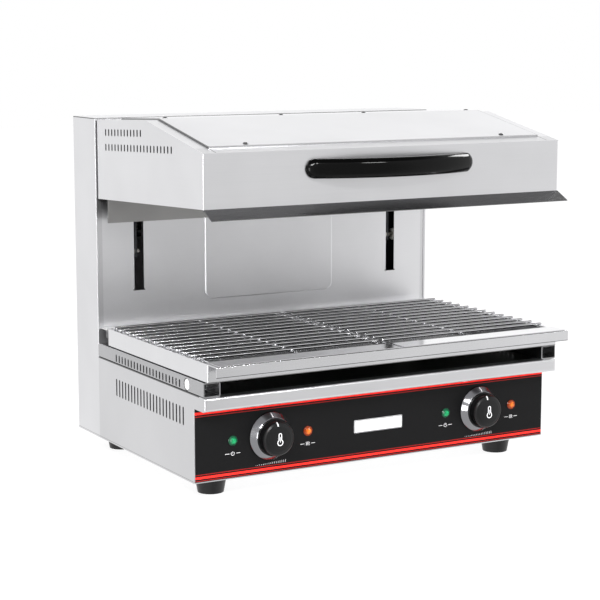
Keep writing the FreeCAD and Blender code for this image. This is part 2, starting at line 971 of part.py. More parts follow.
def head_shell():
    """Left side, front face and right side of the head, bent from one sheet."""
    top_drop = cover_edge + skin
    solid = side_prism(head_outline(top_drop, 0), -head_half, head_half)
    corner = lambda c: near(c.y, y_head)
    solid = rounded(solid, head_corner, "z", corner)
    inner = head_half - skin
    core = box(-inner, inner, y_head + skin, y_head_rear + 1, z_side_low_rear - 1, z_ridge + 1)
    core = rounded(core, head_corner - skin, "z", lambda c: near(c.y, y_head + skin))
    slots = []
    for count, drop in ((upper_vent_count, upper_vent_drop), (lower_vent_count, lower_vent_drop)):
        for i in range(count):
            y = y_head_rear - head_vent_back - i * head_vent_pitch
            top = z_ridge - (y - y_ridge) * pitch_slope - drop
            slots.append(slot_through_x(-head_half - 1, head_half + 1, y, top - head_vent_height, top,
                                        head_vent_width))
    bolts = handle_bolt_holes()
    return solid.cut([core] + slots + bolts)


def sheet_over_head(half_wide, front, rear, drop, thick):
    """A bent sheet that follows the slope and the flat top of the head."""
    z_front = head_top_z(front, drop)
    z_mid = head_top_z(y_ridge, drop)
    z_rear = head_top_z(rear, drop)
    corners = [
        (front, z_front),
        (y_ridge, z_mid),
        (rear, z_rear),
        (rear, z_rear - thick),
        (y_ridge, z_mid - thick),
        (front, z_front - thick),
    ]
    return side_prism(corners, -half_wide, half_wide)


def head_screw_holes():
    r = head_screw_radius + bore_play
    holes = []
    for x, y in head_cover_screw_places():
        top = cover_z(y)
        holes.append(bar(r, (x, y, top + 3), (x, y, top - head_screw_length - 2)))
    return holes


def head_top_frame():
    """Top of the head round the service opening."""
    frame = sheet_over_head(head_half, y_head, y_head_rear, cover_edge, skin)
    window_front = y_head + cover_front_setback + 2 * cover_screw_inset
    x = cover_half - window_side_margin
    window = box(-x, x, window_front, y_ridge - window_margin, z_face_low, z_ridge + 1)
    return frame.cut([window] + head_screw_holes())


def head_top_cover():
    """Sheet lid with its edges folded down onto the frame."""
    front = y_head + cover_front_setback
    rear = y_ridge + cover_back
    lid = sheet_over_head(cover_half, front, rear, 0, cover_edge)
    t = lid_sheet
    pocket = sheet_over_head(cover_half - t, front + t, rear - t, t, cover_edge)
    return lid.cut([pocket] + head_screw_holes())


def head_cover_screws():
    made = []
    for x, y in head_cover_screw_places():
        top = cover_z(y)
        low_side = cover_z(y - head_screw_head) if y < y_ridge else cover_z(y + head_screw_head)
        head = bar(head_screw_head, (x, y, min(top, low_side)), (x, y, top + low_head))
        shank = bar(head_screw_radius, (x, y, top - head_screw_length), (x, y, top))
        sunk = sheet_over_head(cover_half, y_head, y_head_rear, 0, 2 * low_head)
        made.append(union([head.cut(sunk), shank]))
    return group(made)


def head_front_lip():
    """Sloping lip under the front face that turns the heat down."""
    run = math.hypot(lip_reach, lip_drop)
    back = skin * lip_reach / run
    corners = [
        (y_head, z_face_low),
        (y_head - lip_reach, z_face_low - lip_drop),
        (y_head - lip_reach + skin * lip_drop / run, z_face_low - lip_drop - back),
        (y_head + skin, z_face_low - skin),
        (y_head + skin, z_face_low - skin * pitch_slope),
    ]
    lip = side_prism(corners, -head_half, head_half)
    return lip


def arm_bolt_places():
    z_mid = (z_arm_high + z_side_low_rear) / 2
    x = arm_inner_x() + arm_flange / 2
    levels = (z_mid - arm_bolt_spread, z_mid + arm_bolt_spread)
    return [(side * x, z) for z in levels for side in (-1, 1)]


arm_bolt_radius = 3.0
arm_bolt_head = 5.0
arm_bolt_spread = 25.0
arm_bolt_head_height = 4.0
arm_bolt_over = 1.5


def head_rear_wall():
    """Rear wall of the head, slotted for the two arms."""
    x = head_half - skin
    low = z_side_low_rear
    high = head_top_z(y_head_rear, cover_edge + skin)
    wall = box(-x, x, y_head_rear - skin, y_head_rear, low, high)
    cutters = []
    gap = loose_gap
    for side in (-1, 1):
        a = side * (arm_x - arm_thick / 2 - gap)
        b = side * (arm_x + arm_thick / 2 + gap)
        cutters.append(box(min(a, b), max(a, b), y_head_rear - skin - 1, y_head_rear + 1,
                           low - 1, z_arm_high + gap))
    for bx, bz in arm_bolt_places():
        cutters.append(bar(arm_bolt_radius + bore_play, (bx, y_head_rear + 1, bz),
                           (bx, y_head_rear - skin - 1, bz)))
    return wall.cut(cutters)


def head_rear_skirt():
    """Plate that hangs at the back of the heating space."""
    x = head_half - skin - loose_gap
    low = z_skirt
    plate = box(-x, x, y_skirt, y_skirt + skin, low, z_reflector - skin)
    hem = box(-x, x, y_skirt + skin, y_skirt + 2 * skin, low, low + skirt_hem)
    return union([plate, hem])


def reflector():
    """Shallow inverted pan above the elements."""
    x = head_half - skin - loose_gap
    front = y_head + skin + loose_gap
    rear = y_skirt
    outer = box(-x, x, front, rear + skin, z_reflector - skin, z_reflector)
    front_rim = box(-x, x, front, front + skin, z_reflector - reflector_rim, z_reflector)
    pieces = [outer, front_rim]
    for side in (-1, 1):
        a = side * x
        b = side * (x - skin)
        pieces.append(box(min(a, b), max(a, b), front, rear, z_reflector - reflector_rim, z_reflector))
    pan = union(pieces)
    cutters = []
    for side in (-1, 1):
        for y in (element_first_y(), element_last_y()):
            tx = side * element_inner if (y == element_first_y()) else side * element_end_x()
            cutters.append(bar(element_radius + element_hole_gap, (tx, y, z_reflector - reflector_rim),
                               (tx, y, z_reflector + 1)))
    return pan.cut(cutters)


def element_first_y():
    span = (element_runs - 1) * element_run_pitch
    middle = (y_head + y_skirt) / 2
    return middle - span / 2


def element_last_y():
    return element_first_y() + (element_runs - 1) * element_run_pitch


def element_end_x():
    """The last run of each element ends on the inner side if the runs are even."""
    return element_inner if element_runs % 2 == 0 else element_outer


def heating_element(side):
    """A tube that winds to and fro under the reflector, with upright terminals."""
    r = element_run_pitch / 2
    bend = element_bend
    inner = element_inner
    outer = element_outer - r
    turn_in = inner + r + bend
    z = z_element
    top = z_reflector + element_terminal
    edges = []
    first = element_first_y()

    def place(x, y, zz):
        return point(side * x, y, zz)

    def line(a, b):
        edges.append(Part.LineSegment(a, b).toShape())

    def arc(a, m, b):
        edges.append(Part.Arc(a, m, b).toShape())

    k = bend * (1 - math.sqrt(0.5))
    line(place(inner, first, top), place(inner, first, z + bend))
    arc(place(inner, first, z + bend), place(inner + k, first, z + k), place(inner + bend, first, z))
    x_from = inner + bend
    for i in range(element_runs):
        y = first + i * element_run_pitch
        outward = i % 2 == 0
        last = i == element_runs - 1
        x_to = outer if outward else (inner + bend if last else turn_in)
        line(place(x_from, y, z), place(x_to, y, z))
        if not last:
            bulge = x_to + r if outward else x_to - r
            next_y = y + element_run_pitch
            arc(place(x_to, y, z), place(bulge, y + r, z), place(x_to, next_y, z))
            x_from = x_to
    y = element_last_y()
    arc(place(inner + bend, y, z), place(inner + k, y, z + k), place(inner, y, z + bend))
    line(place(inner, y, z + bend), place(inner, y, top))
    path = Part.Wire(edges)
    ring = Part.Wire([Part.Circle(place(inner, first, top), point(0, 0, 1), element_radius).toShape()])
    return path.makePipeShell([ring], True, False)


def element_hangers():
    """Flat bars across the runs, hooked up to the reflector at both ends."""
    made = []
    front = y_head + 2 * skin + 2 * loose_gap
    rear = y_skirt - loose_gap
    low = z_element - element_radius - loose_gap / 2
    for x in (hanger_x_inner, hanger_x_outer):
        x0 = x - hanger_thick / 2
        x1 = x + hanger_thick / 2
        strip = box(x0, x1, front, rear, low - hanger_drop, low)
        front_leg = box(x0, x1, front, front + hanger_leg, low, z_reflector - skin)
        rear_leg = box(x0, x1, rear - hanger_leg, rear, low, z_reflector - skin)
        made += both_sides(union([strip, front_leg, rear_leg]))
    return group(made)


# Handle

def handle_screw_x():
    return handle_half - handle_foot / 2


def handle_bolt_holes():
    r = handle_screw_radius + bore_play
    holes = []
    for side in (-1, 1):
        x = side * handle_screw_x()
        holes.append(bar(r, (x, y_head - 1, handle_z), (x, y_head + skin + 1, handle_z)))
    return holes


handle_bore_depth = 7.0
handle_bolt_length = 9.5
handle_bolt_head = 3.0


def handle():
    """A bow that stands out in front of the face, with round ends."""
    reach = handle_half - handle_foot
    back_sag = handle_reach - handle_mid_thick
    tip = handle_tip
    low = handle_z - handle_height / 2
    left = point(-handle_half, y_head, low)
    left_tip = point(-handle_half, y_head - tip, low)
    right_tip = point(handle_half, y_head - tip, low)
    right = point(handle_half, y_head, low)
    bow_radius = (handle_half ** 2 + (handle_reach - tip) ** 2) / (2 * (handle_reach - tip))
    bow_middle = point(0, y_front, low)
    quarter_x = handle_half / 2
    quarter_y = y_front + bow_radius - math.sqrt(bow_radius ** 2 - quarter_x ** 2)
    bow_left = Part.Arc(left_tip, point(-quarter_x, quarter_y, low), bow_middle).toShape()
    bow_right = Part.Arc(bow_middle, point(quarter_x, quarter_y, low), right_tip).toShape()
    inner_left = point(-reach, y_head, low)
    inner_right = point(reach, y_head, low)
    gap = Part.Arc(inner_right, point(0, y_head - back_sag, low), inner_left).toShape()
    edges = [
        Part.LineSegment(left, left_tip).toShape(),
        bow_left,
        bow_right,
        Part.LineSegment(right_tip, right).toShape(),
        Part.LineSegment(right, inner_right).toShape(),
        gap,
        Part.LineSegment(inner_left, left).toShape(),
    ]
    plan = Part.Face(Part.Wire(edges)).extrude(point(0, 0, handle_height))
    long_edges = []
    for edge in plan.Edges:
        if edge.Length > reach and edge.BoundBox.ZLength < 1:
            long_edges.append(edge)
    plan = plan.makeFillet(handle_round, long_edges)
    r = handle_height / 2 - 0.01
    ends = box(-handle_half, handle_half, y_front - 1, y_head + 1, low, low + handle_height)
    ends = rounded(ends, r, "y", lambda c: True)
    bar_shape = plan.common(ends)
    bores = []
    for side in (-1, 1):
        x = side * handle_screw_x()
        bores.append(bar(handle_screw_radius + bore_play, (x, y_head + 1, handle_z),
                         (x, y_head - handle_bore_depth, handle_z)))
    return bar_shape.cut(bores)


def head_bolts():
    """Handle screws and arm bolts, all with plain round heads inside the head."""
    made = []
    for side in (-1, 1):
        x = side * handle_screw_x()
        inside = y_head + skin
        end = inside + handle_bolt_head - handle_bolt_length
        shank = bar(handle_screw_radius, (x, inside, handle_z), (x, end, handle_z))
        head = bar(2 * handle_screw_radius, (x, inside, handle_z), (x, inside + handle_bolt_head, handle_z))
        made.append(union([shank, head]))
    for x, z in arm_bolt_places():
        front = y_head_rear - skin - arm_thick
        shank = bar(arm_bolt_radius, (x, front, z), (x, y_head_rear + arm_bolt_over, z))
        head = bar(arm_bolt_head, (x, front - arm_bolt_head_height, z), (x, front, z))
        made.append(union([shank, head]))
    return group(made)


# Arms and rollers

def arm_left():
    """Arm plate that runs from the head through the slot into the column."""
    x0 = -(arm_x + arm_thick / 2)
    x1 = arm_inner_x()
    front = y_head_rear - skin - arm_thick
    reach = box(x0, x1, front, y_arm + 5, z_arm_low, z_arm_high)
    carriage = box(x0, x1, y_arm, y_arm_rear, carriage_low, carriage_high)
    carriage = rounded(carriage, arm_corner, "x", lambda c: True)
    hook_plate = box(x0, x1, y_arm_rear - 5, y_hook + hook_plate_over, lower_hook_z - hook_plate_half,
                     lower_hook_z + hook_plate_half)
    flange_low = z_side_low_rear + arm_flange_lift
    flange = box(x1 - 0.5, x1 + arm_flange, front, front + arm_thick, flange_low, z_arm_high)
    pin = bar(hook_pin_radius, (x0, y_hook, lower_hook_z), (x1 + hook_pin_length, y_hook, lower_hook_z))
    whole = union([reach, carriage, hook_plate, flange, pin])
    cutters = []
    for z in (lower_roller_z, upper_roller_z):
        cutters.append(bar(axle_radius + bore_play, (x0 - 1, y_roller, z), (x1 + 1, y_roller, z)))
    for side_x, z in arm_bolt_places():
        cutters.append(bar(arm_bolt_radius + bore_play, (side_x, front - 1, z),
                           (side_x, front + arm_thick + 1, z)))
    return whole.cut(cutters)


def roller_span():
    outer = roller_x + roller_width
    return roller_x, outer


def roller_axles():
    """Headed pins that carry the rollers outside the arm plates."""
    made = []
    near_x, far_x = roller_span()
    x0 = -(far_x + axle_over)
    x1 = arm_inner_x()
    for z in (lower_roller_z, upper_roller_z):
        shank = bar(axle_radius, (x0, y_roller, z), (x1, y_roller, z))
        head = bar(axle_head_radius, (x1, y_roller, z), (x1 + axle_head, y_roller, z))
        collar = bar(axle_head_radius, (-(near_x - loose_gap), y_roller, z),
                     (-(arm_x + arm_thick / 2), y_roller, z))
        made += both_sides(union([shank, head, collar]))
    return group(made)


def rollers(z):
    """Nylon rollers at one height, left and right on the same line."""
    near_x, far_x = roller_span()
    tyre = bar(roller_radius, (-far_x, y_roller, z), (-near_x, y_roller, z))
    rim = [e for e in tyre.Edges if e.Length > roller_radius * 6 and not edge_runs_along(e, "x")]
    tyre = tyre.makeFillet(roller_edge, rim)
    bore = bar(axle_radius + shaft_play, (-far_x - 1, y_roller, z), (-near_x + 1, y_roller, z))
    return group(both_sides(tyre.cut(bore)))


# Tray and grids

def tray():
    """Drip tray with folded hems and a lip along the front."""
    x = tray_half
    pan = box(-x, x, y_tray, y_tray_rear, z_tray, z_tray_top)
    pan = rounded(pan, tray_corner, "z", lambda c: True)
    low_edges = [e for e in pan.Edges if near(e.BoundBox.ZMax, z_tray)]
    pan = pan.makeFillet(tray_foot_radius, low_edges)
    t = tray_wall
    hollow = box(-x + t, x - t, y_tray + t, y_tray_rear - t, z_tray + t, z_tray_top + 1)
    hollow = rounded(hollow, tray_corner - t, "z", lambda c: True)
    shell = pan.cut(hollow)
    hems = []
    for side in (-1, 1):
        a = side * (x - t / 2)
        b = side * (x - t - tray_hem)
        hems.append(box(min(a, b), max(a, b), y_tray + tray_corner, y_tray_rear - tray_corner,
                        z_tray_top - t, z_tray_top))
    flange = box(-x, x, y_tray_lip, y_tray + t, z_tray_top - t, z_tray_top)
    lip = box(-x, x, y_tray_lip, y_tray_lip + t, z_tray_top - tray_lip_drop, z_tray_top)
    front = union([flange, lip])
    front = rounded(front, t - 0.2, "x", lambda c: near(c.y, y_tray_lip) and near(c.z, z_tray_top))
    return union([shell, front] + hems)


def rod_ys():
    last = y_tray_rear - rod_last_gap
    return [last - i * rod_pitch for i in range(rod_count)]


def grid(side):
    """Half of the wire grid: rods along X, three bearers and a front strip."""
    near_x = grid_middle_gap
    far_x = tray_half - grid_side_gap
    ys = rod_ys()
    z = z_rod
    pieces = []
    for y in ys:
        wire = bar(rod_radius, (side * near_x, y, z), (side * far_x, y, z))
        ends = [e for e in wire.Edges if not edge_runs_along(e, "x")]
        pieces.append(wire.makeFillet(rod_radius * rod_end_share, ends))
    z_low = z - 2 * rod_radius + bearer_bite
    strip_front = y_tray_lip + strip_front_gap
    strip_back = strip_front + strip_width
    bearer_end = ys[0] + rod_radius + bearer_past
    far_bearer = tray_half - tray_wall - tray_hem - rod_radius - bearer_side_gap
    for x in (near_x + rod_radius + bearer_past, (near_x + far_bearer) / 2, far_bearer):
        start = (side * x, strip_back - bearer_overlap, z_low)
        pieces.append(bar(rod_radius, start, (side * x, bearer_end, z_low)))
    strip_z = z_tray_top + loose_gap
    a = side * near_x
    b = side * far_x
    strip = box(min(a, b), max(a, b), strip_front, strip_back, strip_z, strip_z + strip_thick)
    pieces.append(strip)
    return union(pieces)


# Every node of the grill

def build():
    green, amber = lamp_places()
    base_left = base_side()
    column_left = column_side()
    rail = rail_left()
    button = rail_button()
    channel = guide_channel()
    spring = lift_spring()
    arm = arm_left()
    return {
        "feet": feet(),
        "foot_bolts": foot_bolts(),
        "base_bottom": base_bottom(),
        "base_side_left": base_left,
        "base_side_right": mirrored(base_left),
        "nose_strip": nose_strip(),
        "deck_plate": deck_plate(),
        "control_panel": control_panel(),
        "panel_film": panel_film(),
        "badge_plate": badge_plate(),
        "lamp_lenses_green": lamp_lenses(green),
        "lamp_lenses_amber": lamp_lenses(amber),
        "lamp_holders": lamp_holders(),
        "thermostats": thermostats(),
        "knob_left": knob_body(-1),
        "knob_left_ring": knob_ring(-1),
        "knob_left_spindle": spindle(-1),
        "knob_right": knob_body(1),
        "knob_right_ring": knob_ring(1),
        "knob_right_spindle": spindle(1),
        "rail_left": rail,
        "rail_right": mirrored(rail),
        "rail_buttons": group(both_sides(button)),
        "column_side_left": column_left,
        "column_side_right": mirrored(column_left),
        "column_rear_cover": column_rear_cover(),
        "rear_cover_screws": rear_screws(),
        "cable_grommet": cable_grommet(),
        "column_top_cap": column_top_cap(),
        "back_panel": back_panel(),
        "rear_shelf": rear_shelf(),
        "guide_channel_left": channel,
        "guide_channel_right": mirrored(channel),
        "bump_stops": bump_stops(),
        "spring_anchors": spring_anchors(),
        "lift_spring_left": spring,
        "lift_spring_right": mirrored(spring),
        "terminal_block": terminal_block(),
        "head_shell": head_shell(),
        "head_front_lip": head_front_lip(),
        "head_top_frame": head_top_frame(),
        "head_top_cover": head_top_cover(),
        "head_cover_screws": head_cover_screws(),
        "head_rear_wall": head_rear_wall(),
        "head_rear_skirt": head_rear_skirt(),
        "reflector": reflector(),
        "element_left": heating_element(-1),
        "element_right": heating_element(1),
        "element_hangers": element_hangers(),
        "handle": handle(),
        "head_bolts": head_bolts(),
        "arm_left": arm,
        "arm_right": mirrored(arm),
        "roller_axles": roller_axles(),
        "rollers_upper": rollers(upper_roller_z),
        "rollers_lower": rollers(lower_roller_z),
        "tray": tray(),
        "grid_left": grid(-1),
        "grid_right": grid(1),
    }


os.makedirs("parts", exist_ok=True)
for node, shape in build().items():
    shape.exportStep("parts/" + node + ".step")
    print(node, "solids", len(shape.Solids), "volume", round(shape.Volume, 1))
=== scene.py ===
"""Looks of a countertop salamander grill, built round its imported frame."""

import json
import math

import bmesh
import bpy
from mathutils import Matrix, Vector


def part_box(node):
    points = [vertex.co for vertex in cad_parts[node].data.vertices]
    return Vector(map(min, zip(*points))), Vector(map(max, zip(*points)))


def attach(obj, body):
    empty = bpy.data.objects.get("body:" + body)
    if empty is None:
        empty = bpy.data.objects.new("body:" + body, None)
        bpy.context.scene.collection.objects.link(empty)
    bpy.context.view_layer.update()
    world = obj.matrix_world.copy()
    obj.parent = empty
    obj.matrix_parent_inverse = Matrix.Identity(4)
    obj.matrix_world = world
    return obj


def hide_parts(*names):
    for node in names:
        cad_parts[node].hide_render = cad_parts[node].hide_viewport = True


bl_info = {
    "name": "Salamander Grill Looks",
    "version": (1, 0, 0),
    "blender": (4, 5, 0),
    "location": "View3D > Sidebar > Salamander",
    "description": "Finishes, printing, screws and studio for a salamander grill",
    "category": "Add Mesh",
}

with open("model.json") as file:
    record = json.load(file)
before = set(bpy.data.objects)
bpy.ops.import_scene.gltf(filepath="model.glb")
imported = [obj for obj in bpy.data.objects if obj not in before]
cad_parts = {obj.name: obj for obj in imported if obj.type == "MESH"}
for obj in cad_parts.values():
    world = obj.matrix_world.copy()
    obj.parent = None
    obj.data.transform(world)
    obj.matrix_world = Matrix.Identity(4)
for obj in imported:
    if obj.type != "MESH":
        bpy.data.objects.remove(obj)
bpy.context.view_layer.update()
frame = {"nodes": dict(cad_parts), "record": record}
MM = 0.001
FRAME_BODY = "frame_unit"
HEAD_BODY = "head_unit"
KNOB_BODIES = ("left_knob", "right_knob")


# Small tools


def linear(code):
    """A colour written as sRGB hex, as the linear values that Blender keeps."""
    values = []
    for i in (1, 3, 5):
        c = int(code[i : i + 2], 16) / 255
        values.append(c / 12.92 if c <= 0.04045 else ((c + 0.055) / 1.055) ** 2.4)
    return (*values, 1.0)


def add_node(tree, kind, inputs=None, **settings):
    """Adds a node, sets its options, and fills or links its inputs by name or number."""
    node = tree.nodes.new(kind)
    for name, value in settings.items():
        setattr(node, name, value)
    for key, value in (inputs or {}).items():
        socket = node.inputs[key]
        if isinstance(value, bpy.types.NodeSocket):
            tree.links.new(value, socket)
        else:
            socket.default_value = value
    return node


def compute(tree, operation, *values):
    """The result of a math node on its values."""
    return add_node(
        tree, "ShaderNodeMath", dict(enumerate(values)), operation=operation
    ).outputs[0]


def mix_shaders(tree, fac, first, second):
    """A node that goes from one shader node to another by a factor."""
    inputs = {0: fac, 1: first.outputs[0], 2: second.outputs[0]}
    return add_node(tree, "ShaderNodeMixShader", inputs)


def new_material(name):
    """An empty material with its tree, its shader and its output joined."""
    material = bpy.data.materials.new(name)
    material.use_nodes = True
    tree = material.node_tree
    tree.nodes.clear()
    shader = add_node(tree, "ShaderNodeBsdfPrincipled")
    add_node(tree, "ShaderNodeOutputMaterial", {"Surface": shader.outputs["BSDF"]})
    return material, tree, shader


def set_inputs(shader, values):
    """Sets or links several inputs of a shader."""
    for key, value in values.items():
        if isinstance(value, bpy.types.NodeSocket):
            shader.id_data.links.new(value, shader.inputs[key])
        else:
            shader.inputs[key].default_value = value


def noise(tree, size_mm, detail=2.0, rough=0.5):
    """Noise whose grains are size_mm along each axis, fixed to the object."""
    sizes = size_mm if isinstance(size_mm, (tuple, list)) else (size_mm,) * 3
    place = add_node(tree, "ShaderNodeTexCoord")
    mapping = add_node(
        tree,
        "ShaderNodeMapping",
        {"Vector": place.outputs["Object"], "Scale": tuple(1000 / s for s in sizes)},
    )
    return add_node(
        tree,
        "ShaderNodeTexNoise",
        {"Vector": mapping.outputs["Vector"], "Scale": 1.0, "Detail": detail, "Roughness": rough},
    ).outputs["Fac"]


def spread(tree, value, low, high, start=0.3, end=0.7):
    """Turns a value between start and end into one between low and high."""
    return add_node(
        tree,
        "ShaderNodeMapRange",
        {"Value": value, "From Min": start, "From Max": end, "To Min": low, "To Max": high},
    ).outputs["Result"]


def blend_colours(tree, fac, low, high):
    """A colour between two, by a factor."""
    return add_node(
        tree, "ShaderNodeMix", {"Factor": fac, "A": low, "B": high}, data_type="RGBA"
    ).outputs["Result"]


def shade(code, share):
    """A hex colour made darker or lighter by a share, as linear values."""
    return tuple(c * share for c in linear(code)[:3]) + (1.0,)


def bump(tree, height, depth_mm, strength=0.3):
    """A normal that makes a value between zero and one stand up by depth_mm."""
    return add_node(
        tree, "ShaderNodeBump", {"Height": height, "Strength": strength, "Distance": depth_mm * MM}
    ).outputs["Normal"]


# Materials. Each starts from what the real finish is.

# Real grit lines are about 0.1 mm apart, too fine to show, so they are drawn 0.8 mm apart.
GRAIN_ACROSS_MM = 0.8
GRAIN_ALONG_MM = 90.0

# A normal with more of x in it than this share belongs to a side of the grill.
SIDE_FACE = 0.6
CLOUD_MM = 120.0

# Painted shade on the sheets, in millimetres: the width of a painted shadow line at a seam, how
# far a mark reaches through a sheet, and the height of the tray's front lip
SHADE_LINE_MM = 0.8
THROUGH_MM = 1.6
TRAY_LIP_MM = 14.9


def sides(node):
    """The box of a CAD node in millimetres: x0, y0, z0, x1, y1, z1."""
    low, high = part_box(node)
    return [value / MM for value in (*low, *high)]


def painted_light_and_shade():
    """Painted shade at folds, seams and under parts, and painted light, on each finish's sheets.

    A mark is a share of the colour, then a box in millimetres. "side" is the distance from the
    middle plane, to the left or to the right.
    """
    _, _, z_floor, half, _, _ = sides("base_side_right")
    _, y_deck, z_deck_low, _, y_column, z_deck = sides("deck_plate")
    z_cap = sides("column_top_cap")[5]
    _, y_shelf, _, _, y_shelf_rear, z_shelf = sides("rear_shelf")
    _, y_back, _, _, y_back_rear, _ = sides("back_panel")
    _, y_head, _, head_half, _, _ = sides("head_shell")
    _, y_cover, _, cover_half, y_cover_rear, _ = sides("head_top_cover")
    y_skirt = sides("head_rear_skirt")[1]
    _, y_lip, z_tray, _, _, z_tray_top = sides("tray")
    z_lip = z_tray_top - TRAY_LIP_MM
    outer_side = ("side", half - THROUGH_MM, half + 1)
    foot_shade_line = ("Z", z_floor + 1, z_floor + 1 + SHADE_LINE_MM)
    cover_length = ("Y", y_head + 1.5, y_cover_rear + SHADE_LINE_MM)
    cover_edge = cover_half + 0.1
    return {
        "base": (
            # Painted shade: the outer sides of the base are darker.
            (0.86, (outer_side,)),
            # Painted shadow line along the seam at the foot of the base sides.
            (0.55, (outer_side, foot_shade_line)),
            # Painted shade at the height of the deck, under the tray.
            (0.25, (("Z", z_deck_low - 0.4, z_deck + 1.4), ("Y", y_deck + 1, y_column + 3.5))),
        ),
        "column": (
            # Painted shade: a dark line just under the column's top edge.
            (0.25, (("Z", z_cap - THROUGH_MM, z_cap - 0.1),)),
            # Painted shadow line along the seam at the foot of the column.
            (0.55, (foot_shade_line,)),
            # Painted light: a lighter band along the rear shelf.
            (1.35, (("Z", z_shelf - 0.9, z_shelf + 1.1), ("Y", y_shelf - 1, y_shelf_rear - 1.7))),
            # Painted light: the back panel above the shelf is lighter.
            (
                1.16,
                (
                    ("Y", y_back - 1, y_back_rear - 0.7),
                    ("Z", z_shelf + 1.1, z_cap - THROUGH_MM),
                    ("side", 0, half - 10),
                ),
            ),
        ),
        "head": (
            # Painted shadow line on the frame beside each side edge of the top cover.
            (0.5, (("side", cover_edge, cover_edge + 1.2), cover_length)),
            # Painted shadow line on the cover's own side edge.
            (0.4, (("side", cover_edge - 0.9, cover_edge), cover_length)),
            # Painted shade on the top strip between the head's front and the cover.
            (0.85, (("side", 0, head_half - 1), ("Y", y_head + 1.3, y_cover - 0.1))),
            # Painted shadow line along the cover's front edge.
            (0.75, (("side", 0, cover_edge), ("Y", y_cover - 0.1, y_cover + SHADE_LINE_MM))),
        ),
        # Painted shade on the inner sheets behind the rear skirt.
        "inner": ((0.15, (("Y", y_skirt + 1, y_column),)),),
        "tray": (
            # Painted shadow line under the lower edge of the tray's lip.
            (0.35, (("Z", z_lip - 0.8, z_lip + 1), ("Y", y_lip - 1, y_lip + 2.9))),
            # Painted shade and painted reflection: the tray floor is darker, for the dark underside
            # of the head that it mirrors.
            (0.2, (("Z", z_tray - 0.4, z_tray + THROUGH_MM),)),
        ),
    }


def grain(tree, along):
    """Streaks of a brushed sheet that run along x, y or z."""
    sizes = [GRAIN_ACROSS_MM] * 3
    sizes["xyz".index(along)] = GRAIN_ALONG_MM
    return noise(tree, sizes, 3.0, 0.6)


def between(tree, value, low, high):
    """One where a place in metres lies between two in millimetres, else zero."""
    above = compute(tree, "GREATER_THAN", value, low * MM)
    below = compute(tree, "LESS_THAN", value, high * MM)
    return compute(tree, "MULTIPLY", above, below)


def paint_light_and_shade(tree, colour, marks):
    """Paints light and shade: multiplies a colour by a share inside boxes fixed to the object."""
    place = add_node(tree, "ShaderNodeTexCoord").outputs["Object"]
    axes = add_node(tree, "ShaderNodeSeparateXYZ", {"Vector": place}).outputs
    values = {"Y": axes["Y"], "Z": axes["Z"], "side": compute(tree, "ABSOLUTE", axes["X"])}
    for share, box in marks:
        inside = 1.0
        for axis, low, high in box:
            part = between(tree, values[axis], low, high)
            inside = compute(tree, "MULTIPLY", part, inside)
        colour = add_node(
            tree,
            "ShaderNodeMix",
            {"Factor": inside, "A": colour, "B": (share, share, share, 1.0)},
            data_type="RGBA",
            blend_type="MULTIPLY",
        ).outputs["Result"]
    return colour


def brushed_steel(name, colour, marks=(), side="y", rough=0.3, cloud=0.04, streak=0.012):
    """Brushed stainless sheet: the streaks soften each reflection, and slow clouds tint it."""
    material, tree, shader = new_material(name)
    place = add_node(tree, "ShaderNodeTexCoord")
    normal = add_node(tree, "ShaderNodeSeparateXYZ", {"Vector": place.outputs["Normal"]})
    sideways = compute(tree, "ABSOLUTE", normal.outputs["X"])
    is_side = compute(tree, "GREATER_THAN", sideways, SIDE_FACE)
    lines = add_node(
        tree,
        "ShaderNodeMix",
        {"Factor": is_side, "A": grain(tree, "x"), "B": grain(tree, side)},
        data_type="FLOAT",
    ).outputs["Result"]
    tone = spread(tree, noise(tree, CLOUD_MM), 1 - cloud, 1 + cloud / 2)
    fine = spread(tree, lines, 1 - streak, 1 + streak / 2)
    both = compute(tree, "MULTIPLY", tone, fine)
    base = add_node(
        tree,
        "ShaderNodeMix",
        {"Factor": 1.0, "A": linear(colour), "B": both},
        data_type="RGBA",
        blend_type="MULTIPLY",
    ).outputs["Result"]
    set_inputs(
        shader,
        {
            # The marks paint light and shade into the colour.
            "Base Color": paint_light_and_shade(tree, base, marks),
            "Metallic": 1.0,
            "Roughness": spread(tree, lines, rough - 0.02, rough + 0.02),
            "Normal": bump(tree, lines, 0.004, 0.2),
        },
    )
    return material


def plated_metal(name, colour, rough, smear_mm=25.0):
    """Nickel, chrome or zinc plating: bright, with faint smears in the gloss."""
    material, tree, shader = new_material(name)
    smear = noise(tree, smear_mm, 4.0)
    set_inputs(
        shader,
        {
            "Base Color": blend_colours(tree, smear, shade(colour, 0.88), linear(colour)),
            "Metallic": 1.0,
            "Roughness": spread(tree, smear, rough * 0.7, rough * 1.4),
        },
    )
    return material


def moulded(name, colour, rough, pit_mm=0.8, pit_depth=0.02, mottle=0.12, sheen=0.5):
    """Moulded plastic, rubber or ceramic: even colour under the fine texture of its mould."""
    material, tree, shader = new_material(name)
    flow = noise(tree, 40.0)
    set_inputs(
        shader,
        {
            "Base Color": blend_colours(tree, flow, shade(colour, 1 - mottle), linear(colour)),
            "Roughness": spread(tree, flow, rough * 0.9, rough * 1.15),
            "IOR": 1.5,
            "Specular IOR Level": sheen,
            "Normal": bump(tree, noise(tree, pit_mm), pit_depth),
        },
    )
    return material


# Heights of the printed lines on the panel film, lowest and highest edge in millimetres
FILM_LINES = (
    (125.0, 128.6, "#FF2A22"),
    (121.7, 122.9, "#8E1512"),
    (39.3, 40.4, "#8E1512"),
    (33.9, 37.2, "#FF2A22"),
    (30.7, 31.9, "#8E1512"),
)


